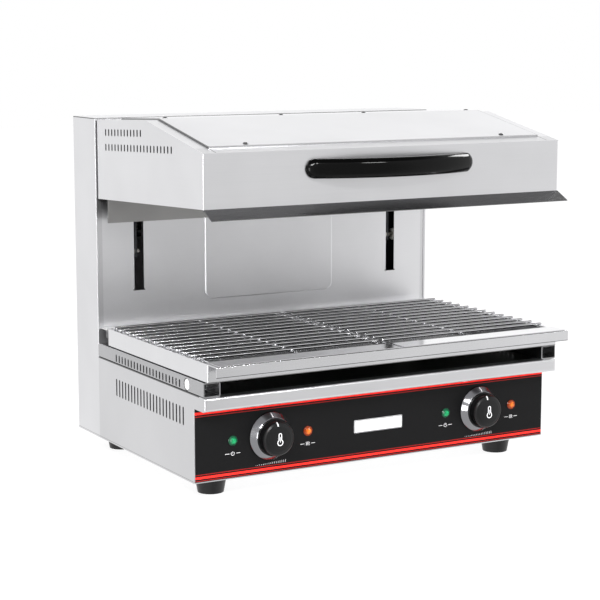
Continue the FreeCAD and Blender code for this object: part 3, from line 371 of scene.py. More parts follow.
def striped_film(name):
    """Polyester film printed on its back: black with red lines, under a fine matt texture."""
    material, tree, shader = new_material(name)
    place = add_node(tree, "ShaderNodeTexCoord").outputs["Object"]
    height = add_node(tree, "ShaderNodeSeparateXYZ", {"Vector": place}).outputs["Z"]
    speckle = noise(tree, 1.6, 3.0, 0.7)
    colour = blend_colours(tree, speckle, linear("#070708"), linear("#101011"))
    for low, high, code in FILM_LINES:
        colour = blend_colours(tree, between(tree, height, low, high), colour, linear(code))
    set_inputs(
        shader,
        {
            "Base Color": colour,
            "Roughness": 0.45,
            "IOR": 1.5,
            "Specular IOR Level": 0.17,
            # Painted light: the print's own colour glows a little, so the red lines stay bright in
            # the shade under the nose.
            "Emission Color": colour,
            "Emission Strength": 0.18,
            "Normal": bump(tree, speckle, 0.02),
        },
    )
    return material


# Width of the small cut faces of a jewel lens
FACET_MM = 1.9


def lamp_lens(name, deep, bright, glow):
    """Coloured acrylic jewel lit by a small neon lamp: bright in the middle, deep at the rim."""
    material, tree, shader = new_material(name)
    centre = add_node(tree, "ShaderNodeAttribute", attribute_name="glow").outputs["Fac"]
    place = add_node(tree, "ShaderNodeTexCoord").outputs["Object"]
    # The facet tone makes some cut faces lighter and others darker: painted light and shade on the
    # facets.
    facet = add_node(tree, "ShaderNodeTexVoronoi", {"Vector": place, "Scale": 1000 / FACET_MM})
    tone = add_node(tree, "ShaderNodeSeparateXYZ", {"Vector": facet.outputs["Color"]}).outputs["X"]
    share = spread(tree, tone, 0.35, 1.0, 0.0, 1.0)
    lit = compute(tree, "MULTIPLY", centre, share)
    colour = blend_colours(tree, lit, linear(deep), linear(bright))
    light = blend_colours(tree, lit, linear("#000000"), linear(glow))
    set_inputs(
        shader,
        {
            "Base Color": colour,
            "Roughness": 0.08,
            "IOR": 1.49,
            "Emission Color": light,
            "Emission Strength": 0.35,
            "Normal": bump(tree, facet.outputs["Distance"], 0.3, 0.5),
        },
    )
    return material


FINISHES = {}


def make_finishes(steel):
    """Every finish, by the record's slot name."""
    marks = painted_light_and_shade()
    return {
        "stainless_base": brushed_steel("stainless_brushed_base", steel, marks["base"]),
        # Painted shade: the rails get a darker colour than the other sheets, for the dark that
        # their smoother faces reflect.
        "stainless_rails": brushed_steel("stainless_brushed_rails", "#B6B6B8", rough=0.24),
        "stainless_column": brushed_steel(
            "stainless_brushed_column", steel, marks["column"], side="z", rough=0.36
        ),
        "stainless_head": brushed_steel("stainless_brushed_head", steel, marks["head"]),
        # Painted shade: the lip gets a dark colour, for the dark reflection that shows on it.
        "stainless_lip": brushed_steel("stainless_lip_painted_dark", "#6E6E6F", rough=0.26, streak=0.05),
        # Painted shade: the inner sheets get a darker colour than the outer ones, for the shade
        # inside the head.
        "stainless_inner": brushed_steel(
            "stainless_inner_painted_dark", "#A9A8A7", marks["inner"], rough=0.34, cloud=0.15
        ),
        "stainless_tray": brushed_steel("stainless_bright_tray", steel, marks["tray"], rough=0.2),
        "stainless_screws": plated_metal("stainless_screw_heads", "#8E8E90", 0.25, 3.0),
        "zinc_screws": plated_metal("zinc_plated_steel", "#B4B2AA", 0.3, 3.0),
        "chrome_wire": plated_metal("chrome_plated_wire", "#DCDCDE", 0.12),
        # Painted shade: the cone's chrome gets a darker colour than bright chrome, for the dark
        # panel that it reflects.
        "knob_chrome": plated_metal("chrome_plated_cone", "#8E8E91", 0.12),
        "spindle_steel": plated_metal("turned_steel", "#A0A0A0", 0.3, 4.0),
        # Painted shade: galvanised parts get a dark colour, for the shaded inside of the column,
        # though bare galvanised sheet is light grey.
        "galvanised": plated_metal("galvanised_sheet", "#505254", 0.4, 14.0),
        "spring_steel": plated_metal("spring_wire", "#8E8E8E", 0.3, 6.0),
        "feet_rubber": moulded("black_rubber_feet", "#0E0E0F", 0.35, 1.0, 0.05, sheen=0.45),
        "stop_rubber": moulded("black_rubber_stops", "#1D1D1D", 0.7, 1.0, 0.05),
        "grommet_rubber": moulded("black_rubber_grommet", "#1B1B1B", 0.6, 1.0, 0.05),
        "handle_black": moulded("gloss_black_phenolic", "#040404", 0.09, 2.0, 0.002, sheen=0.13),
        "knob_black": moulded("black_phenolic_knob", "#0C0C0D", 0.3, 0.8, 0.01, sheen=0.35),
        "badge_white": moulded("white_enamel", "#ECECEE", 0.3, 0.8, 0.01, mottle=0.02),
        "lens_green": lamp_lens("green_lamp_lens", "#06402A", "#0B9A5C", "#12C474"),
        "lens_amber": lamp_lens("orange_lamp_lens", "#7A2A06", "#E8701A", "#FF8A28"),
        "lamp_body": moulded("lamp_holder_plastic", "#D9D8D2", 0.5),
        "thermostat_body": moulded("thermostat_plastic", "#262320", 0.5),
        "button_nylon": moulded("white_nylon_buttons", "#E7E7E5", 0.4, mottle=0.03),
        "roller_nylon": moulded("white_nylon_rollers", "#E4E3DD", 0.45, mottle=0.05),
        "terminal_ceramic": moulded("terminal_ceramic", "#E6E3DA", 0.5, mottle=0.05),
        "element_sheath": moulded(
            "oxidised_element_sheath", "#3A3532", 0.55, 0.8, 0.04, mottle=0.4
        ),
        "printed_film": striped_film("printed_polyester_film"),
    }


# Meshes


def add_piece(name, mesh, body, slot, replaces=(), angle=35.0):
    """Turns a mesh in metres into a finished piece that rides on a body."""
    mesh.materials.clear()
    mesh.materials.append(FINISHES[slot])
    mesh.shade_smooth()
    mesh.set_sharp_from_angle(angle=math.radians(angle))
    piece = bpy.data.objects.new(name, mesh)
    bpy.context.scene.collection.objects.link(piece)
    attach(piece, body)
    if replaces:
        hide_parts(*replaces)
    return piece


def mesh_from(name, points_mm, faces, merge_mm=0.001):
    """A closed mesh from points in millimetres, doubles merged and faces turned outwards."""
    mesh = bpy.data.meshes.new(name)
    mesh.from_pydata([(x * MM, y * MM, z * MM) for x, y, z in points_mm], [], faces)
    shape = bmesh.new()
    shape.from_mesh(mesh)
    bmesh.ops.remove_doubles(shape, verts=shape.verts, dist=merge_mm * MM)
    bmesh.ops.dissolve_degenerate(shape, edges=shape.edges, dist=merge_mm * MM / 2)
    bmesh.ops.recalc_face_normals(shape, faces=shape.faces)
    shape.to_mesh(mesh)
    shape.free()
    return mesh


def ring_faces(rings, count, closed_rings=False, caps=True):
    """Quads between rings of points, and a cap on each open end if it needs one."""
    faces = []
    turns = rings if closed_rings else rings - 1
    for i in range(turns):
        a = i * count
        b = ((i + 1) % rings) * count
        for k in range(count):
            n = (k + 1) % count
            faces.append((a + k, a + n, b + n, b + k))
    if caps and not closed_rings:
        faces.append(tuple(range(count)))
        faces.append(tuple(range((rings - 1) * count, rings * count)))
    return faces


def turned(centre, axis, profile, steps=48):
    """Points and faces of a profile of (radius, distance) turned about a line along x or y."""
    points = []
    for radius, along in profile:
        for k in range(steps):
            angle = 2 * math.pi * k / steps
            u = radius * math.cos(angle)
            v = radius * math.sin(angle)
            x, y = (u, along) if axis == "y" else (along, u)
            points.append((centre[0] + x, centre[1] + y, centre[2] + v))
    return points, ring_faces(len(profile), steps)


def join_shapes(shapes):
    """Several (points, faces) as one."""
    points = []
    faces = []
    for more_points, more_faces in shapes:
        start = len(points)
        points += more_points
        faces += [tuple(i + start for i in face) for face in more_faces]
    return points, faces


# How far an inlaid or printed line reaches into the surface under it
SINK_MM = 0.1


def stroke(path, width, surface, thick, closed=False):
    """A line of (u, v) points laid on surface(u, v, lift), as a thin closed strip."""
    points = []
    count = len(path)
    for i, (u, v) in enumerate(path):
        before = path[(i - 1) % count] if closed or i else path[i]
        after = path[(i + 1) % count] if closed or i < count - 1 else path[i]
        du = after[0] - before[0]
        dv = after[1] - before[1]
        size = math.hypot(du, dv)
        nu = -dv / size * width / 2
        nv = du / size * width / 2
        for side, lift in ((-1, -SINK_MM), (1, -SINK_MM), (1, thick), (-1, thick)):
            points.append(surface(u + side * nu, v + side * nv, lift))
    return points, ring_faces(count, 4, closed)


# Sizes and colours that a user would change


class SalamanderLook(bpy.types.PropertyGroup):
    """Sizes and colours of the pieces that are made here."""

    steel: bpy.props.StringProperty(
        name="Stainless sheet",
        description="sRGB hex colour of the brushed sheet",
        default="#E2E2E4",
    )
    handle_length: bpy.props.FloatProperty(
        name="Handle length",
        description="Length of the bow handle, end to end",
        default=280.0 * MM,
        unit="LENGTH",
    )
    handle_height: bpy.props.FloatProperty(
        name="Handle height",
        description="Height of the bow handle seen from the front",
        default=27.5 * MM,
        unit="LENGTH",
    )
    mark_width: bpy.props.FloatProperty(
        name="Knob mark width",
        description="Width of the white index marks on the knobs",
        default=1.7 * MM,
        unit="LENGTH",
    )
    screw_radius: bpy.props.FloatProperty(
        name="Screw head radius",
        description="Radius of the cover screw heads",
        default=4.0 * MM,
        unit="LENGTH",
    )
    screw_height: bpy.props.FloatProperty(
        name="Screw head height",
        description="Height of the cover screw heads",
        default=1.4 * MM,
        unit="LENGTH",
    )


def look():
    """The sizes and colours that are set in the scene."""
    return bpy.context.scene.salamander_look


class SALAMANDER_OT_finishes(bpy.types.Operator):
    """Gives every CAD node the finish of its real material"""

    bl_idname = "salamander.finishes"
    bl_label = "Finishes"

    def execute(self, context):
        FINISHES.update(make_finishes(look().steel))
        for entry in frame["record"]["subparts"]:
            data = frame["nodes"][entry["node"]].data
            data.materials.clear()
            data.materials.append(FINISHES[entry["material_slot"]])
        return {"FINISHED"}


class SALAMANDER_OT_handle(bpy.types.Operator):
    """Moulds the glossy bow handle with a rounded band along its edge and round ends"""

    bl_idname = "salamander.handle"
    bl_label = "Handle"

    # Millimetres: reach of the tips, thickness of the middle, length of a foot, width and drop
    # of the band, height of the crown, rounding of the back, and the flat left at a tip
    TIP_REACH = 6.0
    MIDDLE_THICK = 14.0
    FOOT = 29.0
    BAND = 5.6
    BAND_DROP = 4.6
    BAND_END = math.radians(25)
    CROWN = 3.0
    BACK_ROUND = 1.5
    TIP_FLAT = 0.8
    # The feet stand on the head, so their back edge is rounded by this share only.
    FOOT_ROUND = 0.3
    ALONG = 72
    ROUND = 32
    CROWN_RINGS = 8
    BAND_RINGS = 12

    def outline(self, half, r):
        """Points round the front view, each with the spine point that it shrinks to."""
        spine = half - r
        around = []
        for side, start in ((1, 90), (-1, 270)):
            for k in range(self.ALONG):
                x = side * spine * math.cos(math.pi * k / self.ALONG)
                around.append(((x, side * r), (x, 0.0)))
            for k in range(self.ROUND):
                angle = math.radians(start + 180 * k / self.ROUND)
                end = (-side * spine + r * math.cos(angle), r * math.sin(angle))
                around.append((end, (-side * spine, 0.0)))
        return around

    def front_steps(self, r):
        """Inset from the outline and drop from the crown line, from the middle outwards."""
        steps = []
        for k in range(self.CROWN_RINGS):
            inset = r - (r - self.BAND) * k / self.CROWN_RINGS
            steps.append((inset, self.CROWN * (1 - inset / r) ** 2))
        rise = 1 - math.sin(self.BAND_END)
        first = math.cos(self.BAND_END)
        for k in range(self.BAND_RINGS + 1):
            tilt = self.BAND_END + (math.pi / 2 - self.BAND_END) * k / self.BAND_RINGS
            inset = self.BAND * (1 - math.sin(tilt)) / rise
            drop = self.BAND_DROP * (first - math.cos(tilt)) / first
            steps.append((inset, self.CROWN * (1 - inset / r) ** 2 + drop))
        return steps

    def execute(self, context):
        low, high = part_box("handle")
        half = look().handle_length / MM / 2
        r = look().handle_height / MM / 2
        y_face = high[1] / MM
        reach = y_face - low[1] / MM
        z_mid = (low[2] + high[2]) / 2 / MM
        bow = reach - self.TIP_REACH
        bow_radius = (half**2 + bow**2) / (2 * bow)
        gap = reach - self.MIDDLE_THICK
        gap_half = half - self.FOOT
        gap_radius = (gap_half**2 + gap**2) / (2 * gap)

        def front(x):
            return reach - (bow_radius - math.sqrt(bow_radius**2 - x * x))

        def back(x):
            if abs(x) >= gap_half:
                return 0.0
            return gap - (gap_radius - math.sqrt(gap_radius**2 - x * x))

        around = self.outline(half, r)
        points = []
        steps = self.front_steps(r)
        most = steps[-1][1]
        for inset, drop in steps:
            for (px, pz), (qx, qz) in around:
                share = 1 - inset / r
                x = qx + (px - qx) * share
                fit = min(1.0, (front(px) - self.TIP_FLAT) / most)
                points.append((x, y_face - front(x) + fit * drop, z_mid + qz + (pz - qz) * share))
        edge = self.BACK_ROUND
        back_steps = ((0.0, edge), (0.3 * edge, 0.3 * edge), (edge, 0.0), (r / 2, 0.0), (r, 0.0))
        for inset, rise in back_steps:
            for (px, pz), (qx, qz) in around:
                share = 1 - inset / r
                x = qx + (px - qx) * share
                lift = rise if abs(px) < gap_half else self.FOOT_ROUND * rise
                points.append((x, y_face - back(x) - lift, z_mid + qz + (pz - qz) * share))
        rings = len(steps) + len(back_steps)
        mesh = mesh_from("handle_bow", points, ring_faces(rings, len(around), caps=False))
        add_piece("handle_bow", mesh, HEAD_BODY, "handle_black", ["handle"], 60.0)
        return {"FINISHED"}


class SALAMANDER_OT_knob_marks(bpy.types.Operator):
    """Inlays the white index marks and the thermometer sign on both knobs"""

    bl_idname = "salamander.knob_marks"
    bl_label = "Knob marks"

    # Millimetres; depths are measured from the panel, steps from the outer edge inwards.
    CAP_DEPTH = 27.0
    CAP_RADIUS = 24.6
    CONE_FRONT = 9.6
    CONE_BACK = 2.4
    RING_OUTER = 34.0
    RING_INNER = 28.2
    SIGN_LINE = 1.2
    STEM_LINE = 0.8
    STEM_HEIGHTS = (-4.2, -2.0, 1.0, 3.6)
    SIGN_LIFT = 0.12
    MARK_LIFT = 0.15
    CAP_MARK_TURN = math.radians(8)
    CAP_MARK_STEPS = (5.6, 4.2, 2.6, 1.6, 0.8, 0.25)
    RING_MARK_TURN = math.radians(3)
    RING_MARK_STEPS = (5.4, 4.2, 2.8, 1.4, 0.3)

    def dome(self, radius):
        """Depth of the cap's face at a radius."""
        steps = (
            (0.0, self.CAP_DEPTH),
            (self.CAP_RADIUS - 14.0, self.CAP_DEPTH - 0.1),
            (self.CAP_RADIUS - 7.0, self.CAP_DEPTH - 0.7),
            (self.CAP_RADIUS - 2.6, self.CAP_DEPTH - 1.8),
            (self.CAP_RADIUS - 0.8, self.CAP_DEPTH - 3.2),
            (self.CAP_RADIUS, self.CAP_DEPTH - 5.0),
        )
        for (r0, d0), (r1, d1) in zip(steps, steps[1:]):
            if radius <= r1:
                return d0 + (d1 - d0) * (radius - r0) / (r1 - r0)
        return steps[-1][1]

    def cone(self, radius):
        """Depth of the bright cone at a radius."""
        share = (self.RING_OUTER - radius) / (self.RING_OUTER - self.RING_INNER)
        return self.CONE_BACK + (self.CONE_FRONT - self.CONE_BACK) * share

    def thermometer(self):
        """Outline of a bulb and a stem, as (u, v) points from the knob's middle."""
        bulb = 4.1
        stem = 2.1
        bulb_v = -4.6
        top_v = 6.4
        neck = math.asin(stem / bulb)
        path = []
        for k in range(25):
            angle = math.pi / 2 - neck - (2 * math.pi - 2 * neck) * k / 24
            path.append((bulb * math.cos(angle), bulb_v + bulb * math.sin(angle)))
        for k in range(9):
            angle = math.pi - math.pi * k / 8
            path.append((stem * math.cos(angle), top_v + stem * math.sin(angle)))
        return path

    def execute(self, context):
        width = look().mark_width / MM
        for side, body in zip((-1, 1), KNOB_BODIES):
            tag = "left" if side < 0 else "right"
            low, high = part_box("knob_%s_ring" % tag)
            x = (low[0] + high[0]) / 2 / MM
            z = (low[2] + high[2]) / 2 / MM
            y_back = high[1] / MM

            def on_dome(u, v, lift):
                return (x + u, y_back - self.dome(math.hypot(u, v)) - lift, z + v)

            def on_cone(u, v, lift):
                return (x + u, y_back - self.cone(math.hypot(u, v)) - lift, z + v)

            shapes = [stroke(self.thermometer(), self.SIGN_LINE, on_dome, self.SIGN_LIFT, True)]
            stem = [(0.0, v) for v in self.STEM_HEIGHTS]
            shapes.append(stroke(stem, self.STEM_LINE, on_dome, self.SIGN_LIFT))
            for turn, surface, far, steps in (
                (self.CAP_MARK_TURN, on_dome, self.CAP_RADIUS, self.CAP_MARK_STEPS),
                (self.RING_MARK_TURN, on_cone, self.RING_OUTER, self.RING_MARK_STEPS),
            ):
                mark = [(-(far - d) * math.sin(turn), (far - d) * math.cos(turn)) for d in steps]
                shapes.append(stroke(mark, width, surface, self.MARK_LIFT))
            mesh = mesh_from("knob_%s_marks" % tag, *join_shapes(shapes))
            add_piece("knob_%s_marks" % tag, mesh, body, "badge_white")
        return {"FINISHED"}


class SALAMANDER_OT_panel_signs(bpy.types.Operator):
    """Prints small plain signs under the lamps and a temperature wedge under the knobs"""

    bl_idname = "salamander.panel_signs"
    bl_label = "Panel signs"

    # Millimetres, except the wave's rate in radians per millimetre and the count of the lines
    INK = 0.04
    LINE = 0.55
    LAMP_PITCH = 60.5
    LAMP_DROP = 18.5
    SIGN_HALF = 2.6
    POWER_BAR = 3.2
    WAVE_GAP = 2.2
    WAVE_SWING = 0.6
    WAVE_RATE = 2.4
    DASH_NEAR = 5.5
    DASH_FAR = 12.0
    WEDGE_DROP = 41.0
    WEDGE_LINES = 17
    WEDGE_PITCH = 3.0
    WEDGE_FIRST = 0.7
    WEDGE_RISE = 0.2

    def power(self, x, z):
        """An open ring with a bar in its gap."""
        ring = []
        for k in range(21):
            angle = math.radians(125 + 290 * k / 20)
            u = x + self.SIGN_HALF * math.cos(angle)
            ring.append((u, z + self.SIGN_HALF * math.sin(angle)))
        return [ring, [(x, z), (x, z + self.POWER_BAR)]]

    def heat(self, x, z):
        """Three upright waves."""
        waves = []
        for n in (-1, 0, 1):
            wave = []
            for k in range(13):
                v = self.SIGN_HALF * (k / 6 - 1)
                u = self.WAVE_GAP * n + self.WAVE_SWING * math.sin(v * self.WAVE_RATE)
                wave.append((x + u, z + v))
            waves.append(wave)
        return waves

    def dashes(self, x, z):
        """A level dash on each side of a sign."""
        reach = (self.DASH_NEAR, self.DASH_FAR)
        return [[(x - u, z) for u in reversed(reach)], [(x + u, z) for u in reach]]

    def wedge(self, x, z):
        """Upright lines that grow from left to right."""
        lines = []
        for k in range(self.WEDGE_LINES):
            u = x + self.WEDGE_PITCH * (k - (self.WEDGE_LINES - 1) / 2)
            lines.append([(u, z), (u, z + self.WEDGE_FIRST + self.WEDGE_RISE * k)])
        return lines

    def execute(self, context):
        y_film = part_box("panel_film")[0][1] / MM
        paths = []

        def on_film(u, v, lift):
            return (u, y_film - lift, v)

        for side in ("left", "right"):
            low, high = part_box("knob_%s_ring" % side)
            x = (low[0] + high[0]) / 2 / MM
            z = (low[2] + high[2]) / 2 / MM
            left = x - self.LAMP_PITCH
            right = x + self.LAMP_PITCH
            z_sign = z - self.LAMP_DROP
            paths += self.power(left, z_sign) + self.heat(right, z_sign)
            paths += self.dashes(left, z_sign) + self.dashes(right, z_sign)
            paths += self.wedge(x, z - self.WEDGE_DROP)
        shapes = [stroke(path, self.LINE, on_film, self.INK) for path in paths]
        mesh = mesh_from("panel_signs", *join_shapes(shapes), 0.0001)
        add_piece("panel_signs", mesh, FRAME_BODY, "badge_white")
        return {"FINISHED"}


class SALAMANDER_OT_lamp_jewels(bpy.types.Operator):
    """Cuts the faceted lamp lenses with their round rims"""

    bl_idname = "salamander.lamp_jewels"
    bl_label = "Lamp jewels"

    # Millimetres: radius of the rim, of the part that glows, and the turned profile
    RIM = 7.2
    GLOW = 5.6
    PROFILE = (
        (0.0, -4.55),
        (2.2, -4.35),
        (4.2, -3.5),
        (5.4, -2.3),
        (6.0, -1.6),
        (6.7, -1.55),
        (RIM, -1.0),
        (RIM, 0.0),
        (5.0, 0.0),
        (5.0, 1.5),
        (0.0, 1.5),
    )
    # Every second corner of the lens rings is pulled in to this share of its radius.
    LENS_RINGS = 5
    CORNERS = 20
    PULL = 0.9

    def jewel(self, x, y, z):
        """Points and faces of one lens with its rim."""
        points, faces = turned((x, y, z), "y", self.PROFILE, self.CORNERS)
        for i in range(self.LENS_RINGS):
            for k in range(i % 2, self.CORNERS, 2):
                at = i * self.CORNERS + k
                px, py, pz = points[at]
                points[at] = (x + (px - x) * self.PULL, py, z + (pz - z) * self.PULL)
        return points, faces

    def execute(self, context):
        y_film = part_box("panel_film")[0][1] / MM
        for colour in ("green", "amber"):
            node = "lamp_lenses_" + colour
            low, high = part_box(node)
            z = (low[2] + high[2]) / 2 / MM
            xs = (low[0] / MM + self.RIM, high[0] / MM - self.RIM)
            shapes = [self.jewel(x, y_film, z) for x in xs]
            mesh = mesh_from("lamp_jewels_" + colour, *join_shapes(shapes))
            glow = mesh.attributes.new("glow", "FLOAT", "POINT")
            for i, vert in enumerate(mesh.vertices):
                gap = min(math.hypot(vert.co.x / MM - x, vert.co.z / MM - z) for x in xs)
                glow.data[i].value = max(0.0, 1.0 - (gap / self.GLOW) ** 2)
            add_piece("lamp_jewels_" + colour, mesh, FRAME_BODY, "lens_" + colour, [node], 12.0)
        return {"FINISHED"}


class SALAMANDER_OT_badge_rim(bpy.types.Operator):
    """Frames the blank badge with a thin raised rim"""

    bl_idname = "salamander.badge_rim"
    bl_label = "Badge rim"

    # Millimetres: corner centres from the plate's edge, corner radius, width and height
    INSET = 1.4
    CORNER = 0.7
    WIDTH = 0.8
    LIFT = 0.2

    def execute(self, context):
        low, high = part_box("badge_plate")
        y = low[1] / MM
        half = (high[0] - low[0]) / 2 / MM - self.INSET
        z0 = low[2] / MM + self.INSET
        z1 = high[2] / MM - self.INSET
        path = []
        for cx, cz, start in ((half, z1, 0), (-half, z1, 90), (-half, z0, 180), (half, z0, 270)):
            for k in range(5):
                angle = math.radians(start + 90 * k / 4)
                u = cx + self.CORNER * math.cos(angle)
                path.append((u, cz + self.CORNER * math.sin(angle)))

        def on_badge(u, v, lift):
            return (u, y - lift, v)

        mesh = mesh_from("badge_rim", *stroke(path, self.WIDTH, on_badge, self.LIFT, True))
        add_piece("badge_rim", mesh, FRAME_BODY, "knob_chrome")
        return {"FINISHED"}


class SALAMANDER_OT_rail_bumpers(bpy.types.Operator):
    """Turns the white nylon bumpers that sit in the rails"""

    bl_idname = "salamander.rail_bumpers"
    bl_label = "Rail bumpers"

    # Radius and depth from the outer face, in millimetres
    PROFILE = (
        (0.0, 0.7),
        (1.6, 0.6),
        (2.2, 0.1),
        (6.0, 0.0),
        (7.4, 0.4),
        (8.1, 1.3),
        (8.2, 2.4),
        (8.2, 7.6),
        (5.6, 7.7),
        (5.6, 24.2),
        (0.0, 24.2),
    )

    def execute(self, context):
        low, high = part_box("rail_buttons")
        y = (low[1] + high[1]) / 2 / MM
        z = (low[2] + high[2]) / 2 / MM
        shapes = []
        for inwards, face in ((1, low[0] / MM), (-1, high[0] / MM)):
            profile = [(radius, inwards * depth) for radius, depth in self.PROFILE]
            shapes.append(turned((face, y, z), "x", profile, 40))
        mesh = mesh_from("rail_bumpers", *join_shapes(shapes))
        add_piece("rail_bumpers", mesh, FRAME_BODY, "button_nylon", ["rail_buttons"])
        return {"FINISHED"}


def screw_tree():
    """Geometry Nodes: a low cross-recessed head and its shank on every point of the mesh."""
    tree = bpy.data.node_groups.new("pan_head_screws", "GeometryNodeTree")
    face = tree.interface
    face.new_socket("Geometry", in_out="INPUT", socket_type="NodeSocketGeometry")
    for name, default in (
        ("Head Radius", 4.0 * MM),
        ("Head Height", 1.4 * MM),
        ("Recess Width", 1.0 * MM),
        ("Shank Radius", 2.0 * MM),
        ("Shank Length", 7.0 * MM),
    ):
        socket = face.new_socket(name, in_out="INPUT", socket_type="NodeSocketFloat")
        socket.default_value = default
    face.new_socket("Turn", in_out="INPUT", socket_type="NodeSocketVector")
    face.new_socket("Finish", in_out="INPUT", socket_type="NodeSocketMaterial")
    face.new_socket("Geometry", in_out="OUTPUT", socket_type="NodeSocketGeometry")
    given = add_node(tree, "NodeGroupInput").outputs
    radius = given["Head Radius"]
    height = given["Head Height"]

    def times(value, share):
        return compute(tree, "MULTIPLY", value, share)

    def moved(shape, z):
        offset = add_node(tree, "ShaderNodeCombineXYZ", {"Z": z}).outputs[0]
        return add_node(
            tree, "GeometryNodeTransform", {"Geometry": shape, "Translation": offset}
        ).outputs["Geometry"]

    def cone(bottom, top, depth):
        """A cone with its radii and its depth as shares of the head's radius and height."""
        inputs = {
            "Vertices": 24,
            "Radius Top": times(radius, top),
            "Radius Bottom": times(radius, bottom),
            "Depth": times(height, depth),
        }
        return add_node(tree, "GeometryNodeMeshCone", inputs).outputs["Mesh"]

    edge = cone(1.0, 0.92, 0.4)
    dome = cone(0.92, 0.6, 0.6)
    shank = add_node(
        tree,
        "GeometryNodeMeshCylinder",
        {"Vertices": 12, "Radius": given["Shank Radius"], "Depth": given["Shank Length"]},
    ).outputs["Mesh"]
    head = add_node(tree, "GeometryNodeJoinGeometry").inputs[0]
    for shape in (edge, moved(dome, times(height, 0.4))):
        tree.links.new(shape, head)
    across = times(radius, 1.1)
    cutters = []
    for wide, long in ((given["Recess Width"], across), (across, given["Recess Width"])):
        size = add_node(tree, "ShaderNodeCombineXYZ", {"X": wide, "Y": long, "Z": height})
        cube = add_node(tree, "GeometryNodeMeshCube", {"Size": size.outputs[0]}).outputs["Mesh"]
        cutters.append(moved(cube, times(height, 0.95)))
    cut = add_node(tree, "GeometryNodeMeshBoolean", operation="DIFFERENCE", solver="EXACT")
    tree.links.new(head.node.outputs[0], cut.inputs["Mesh 1"])
    for shape in cutters:
        tree.links.new(shape, cut.inputs["Mesh 2"])
    whole = add_node(tree, "GeometryNodeJoinGeometry").inputs[0]
    half_length = times(given["Shank Length"], -0.5)
    for shape in (cut.outputs["Mesh"], moved(shank, half_length)):
        tree.links.new(shape, whole)
    spots = add_node(
        tree,
        "GeometryNodeInstanceOnPoints",
        {"Points": given["Geometry"], "Instance": whole.node.outputs[0], "Rotation": given["Turn"]},
    ).outputs["Instances"]
    real = add_node(tree, "GeometryNodeRealizeInstances", {"Geometry": spots}).outputs["Geometry"]
    done = add_node(
        tree, "GeometryNodeSetMaterial", {"Geometry": real, "Material": given["Finish"]}
    ).outputs["Geometry"]
    add_node(tree, "NodeGroupOutput", {"Geometry": done})
    return tree


def screws_on(name, tree, places_mm, turn, sizes, body, slot, node):
    """Runs the screw tree on a set of places and keeps the result as one plain mesh."""
    base = bpy.data.meshes.new(name + "_places")
    base.from_pydata([(x * MM, y * MM, z * MM) for x, y, z in places_mm], [], [])
    holder = bpy.data.objects.new(name + "_places", base)
    bpy.context.scene.collection.objects.link(holder)
    modifier = holder.modifiers.new("screws", "NODES")
    modifier.node_group = tree
    values = dict(sizes, Turn=turn, Finish=FINISHES[slot])
    for item in tree.interface.items_tree:
        if item.in_out == "INPUT" and item.name in values:
            modifier[item.identifier] = values[item.name]
    bpy.context.view_layer.update()
    evaluated = holder.evaluated_get(bpy.context.evaluated_depsgraph_get())
    mesh = bpy.data.meshes.new_from_object(evaluated)
    mesh.name = name
    bpy.data.objects.remove(holder)
    if len(mesh.polygons) < len(places_mm):
        raise RuntimeError(name + " came out empty")
    return add_piece(name, mesh, body, slot, [node], 25.0)


class SALAMANDER_OT_screws(bpy.types.Operator):
    """Sets cross-recessed screws into the head cover and the rear cover"""

    bl_idname = "salamander.screws"
    bl_label = "Screws"

    # The screws on the head face up with their cross turned a little; the others face back.
    UP = (0.0, 0.0, 0.6)
    BACK = (math.radians(-90), 0.0, 0.0)

    def boxes(self, node, radius):
        """Lowest and highest corner of each separate screw of a CAD node."""
        groups = []
        for vertex in frame["nodes"][node].data.vertices:
            co = vertex.co.copy()
            for group in groups:
                if (co - group[0]).length < 3 * radius:
                    group.append(co)
                    break
            else:
                groups.append([co])
        found = []
        for group in groups:
            low = [min(co[i] for co in group) for i in range(3)]
            high = [max(co[i] for co in group) for i in range(3)]
            found.append((low, high))
        return found

    def execute(self, context):
        tree = screw_tree()
        radius = look().screw_radius
        height = look().screw_height
        sizes = {"Head Radius": radius, "Head Height": height}
        for name, node, facing, turn, body, slot in (
            ("cover_screws", "head_cover_screws", 2, self.UP, HEAD_BODY, "stainless_screws"),
            ("rear_screws", "rear_cover_screws", 1, self.BACK, FRAME_BODY, "zinc_screws"),
        ):
            places = []
            for low, high in self.boxes(node, radius):
                place = [(a + b) / 2 / MM for a, b in zip(low, high)]
                place[facing] = (high[facing] - height) / MM
                places.append(place)
            screws_on(name, tree, places, turn, sizes, body, slot, node)
        return {"FINISHED"}


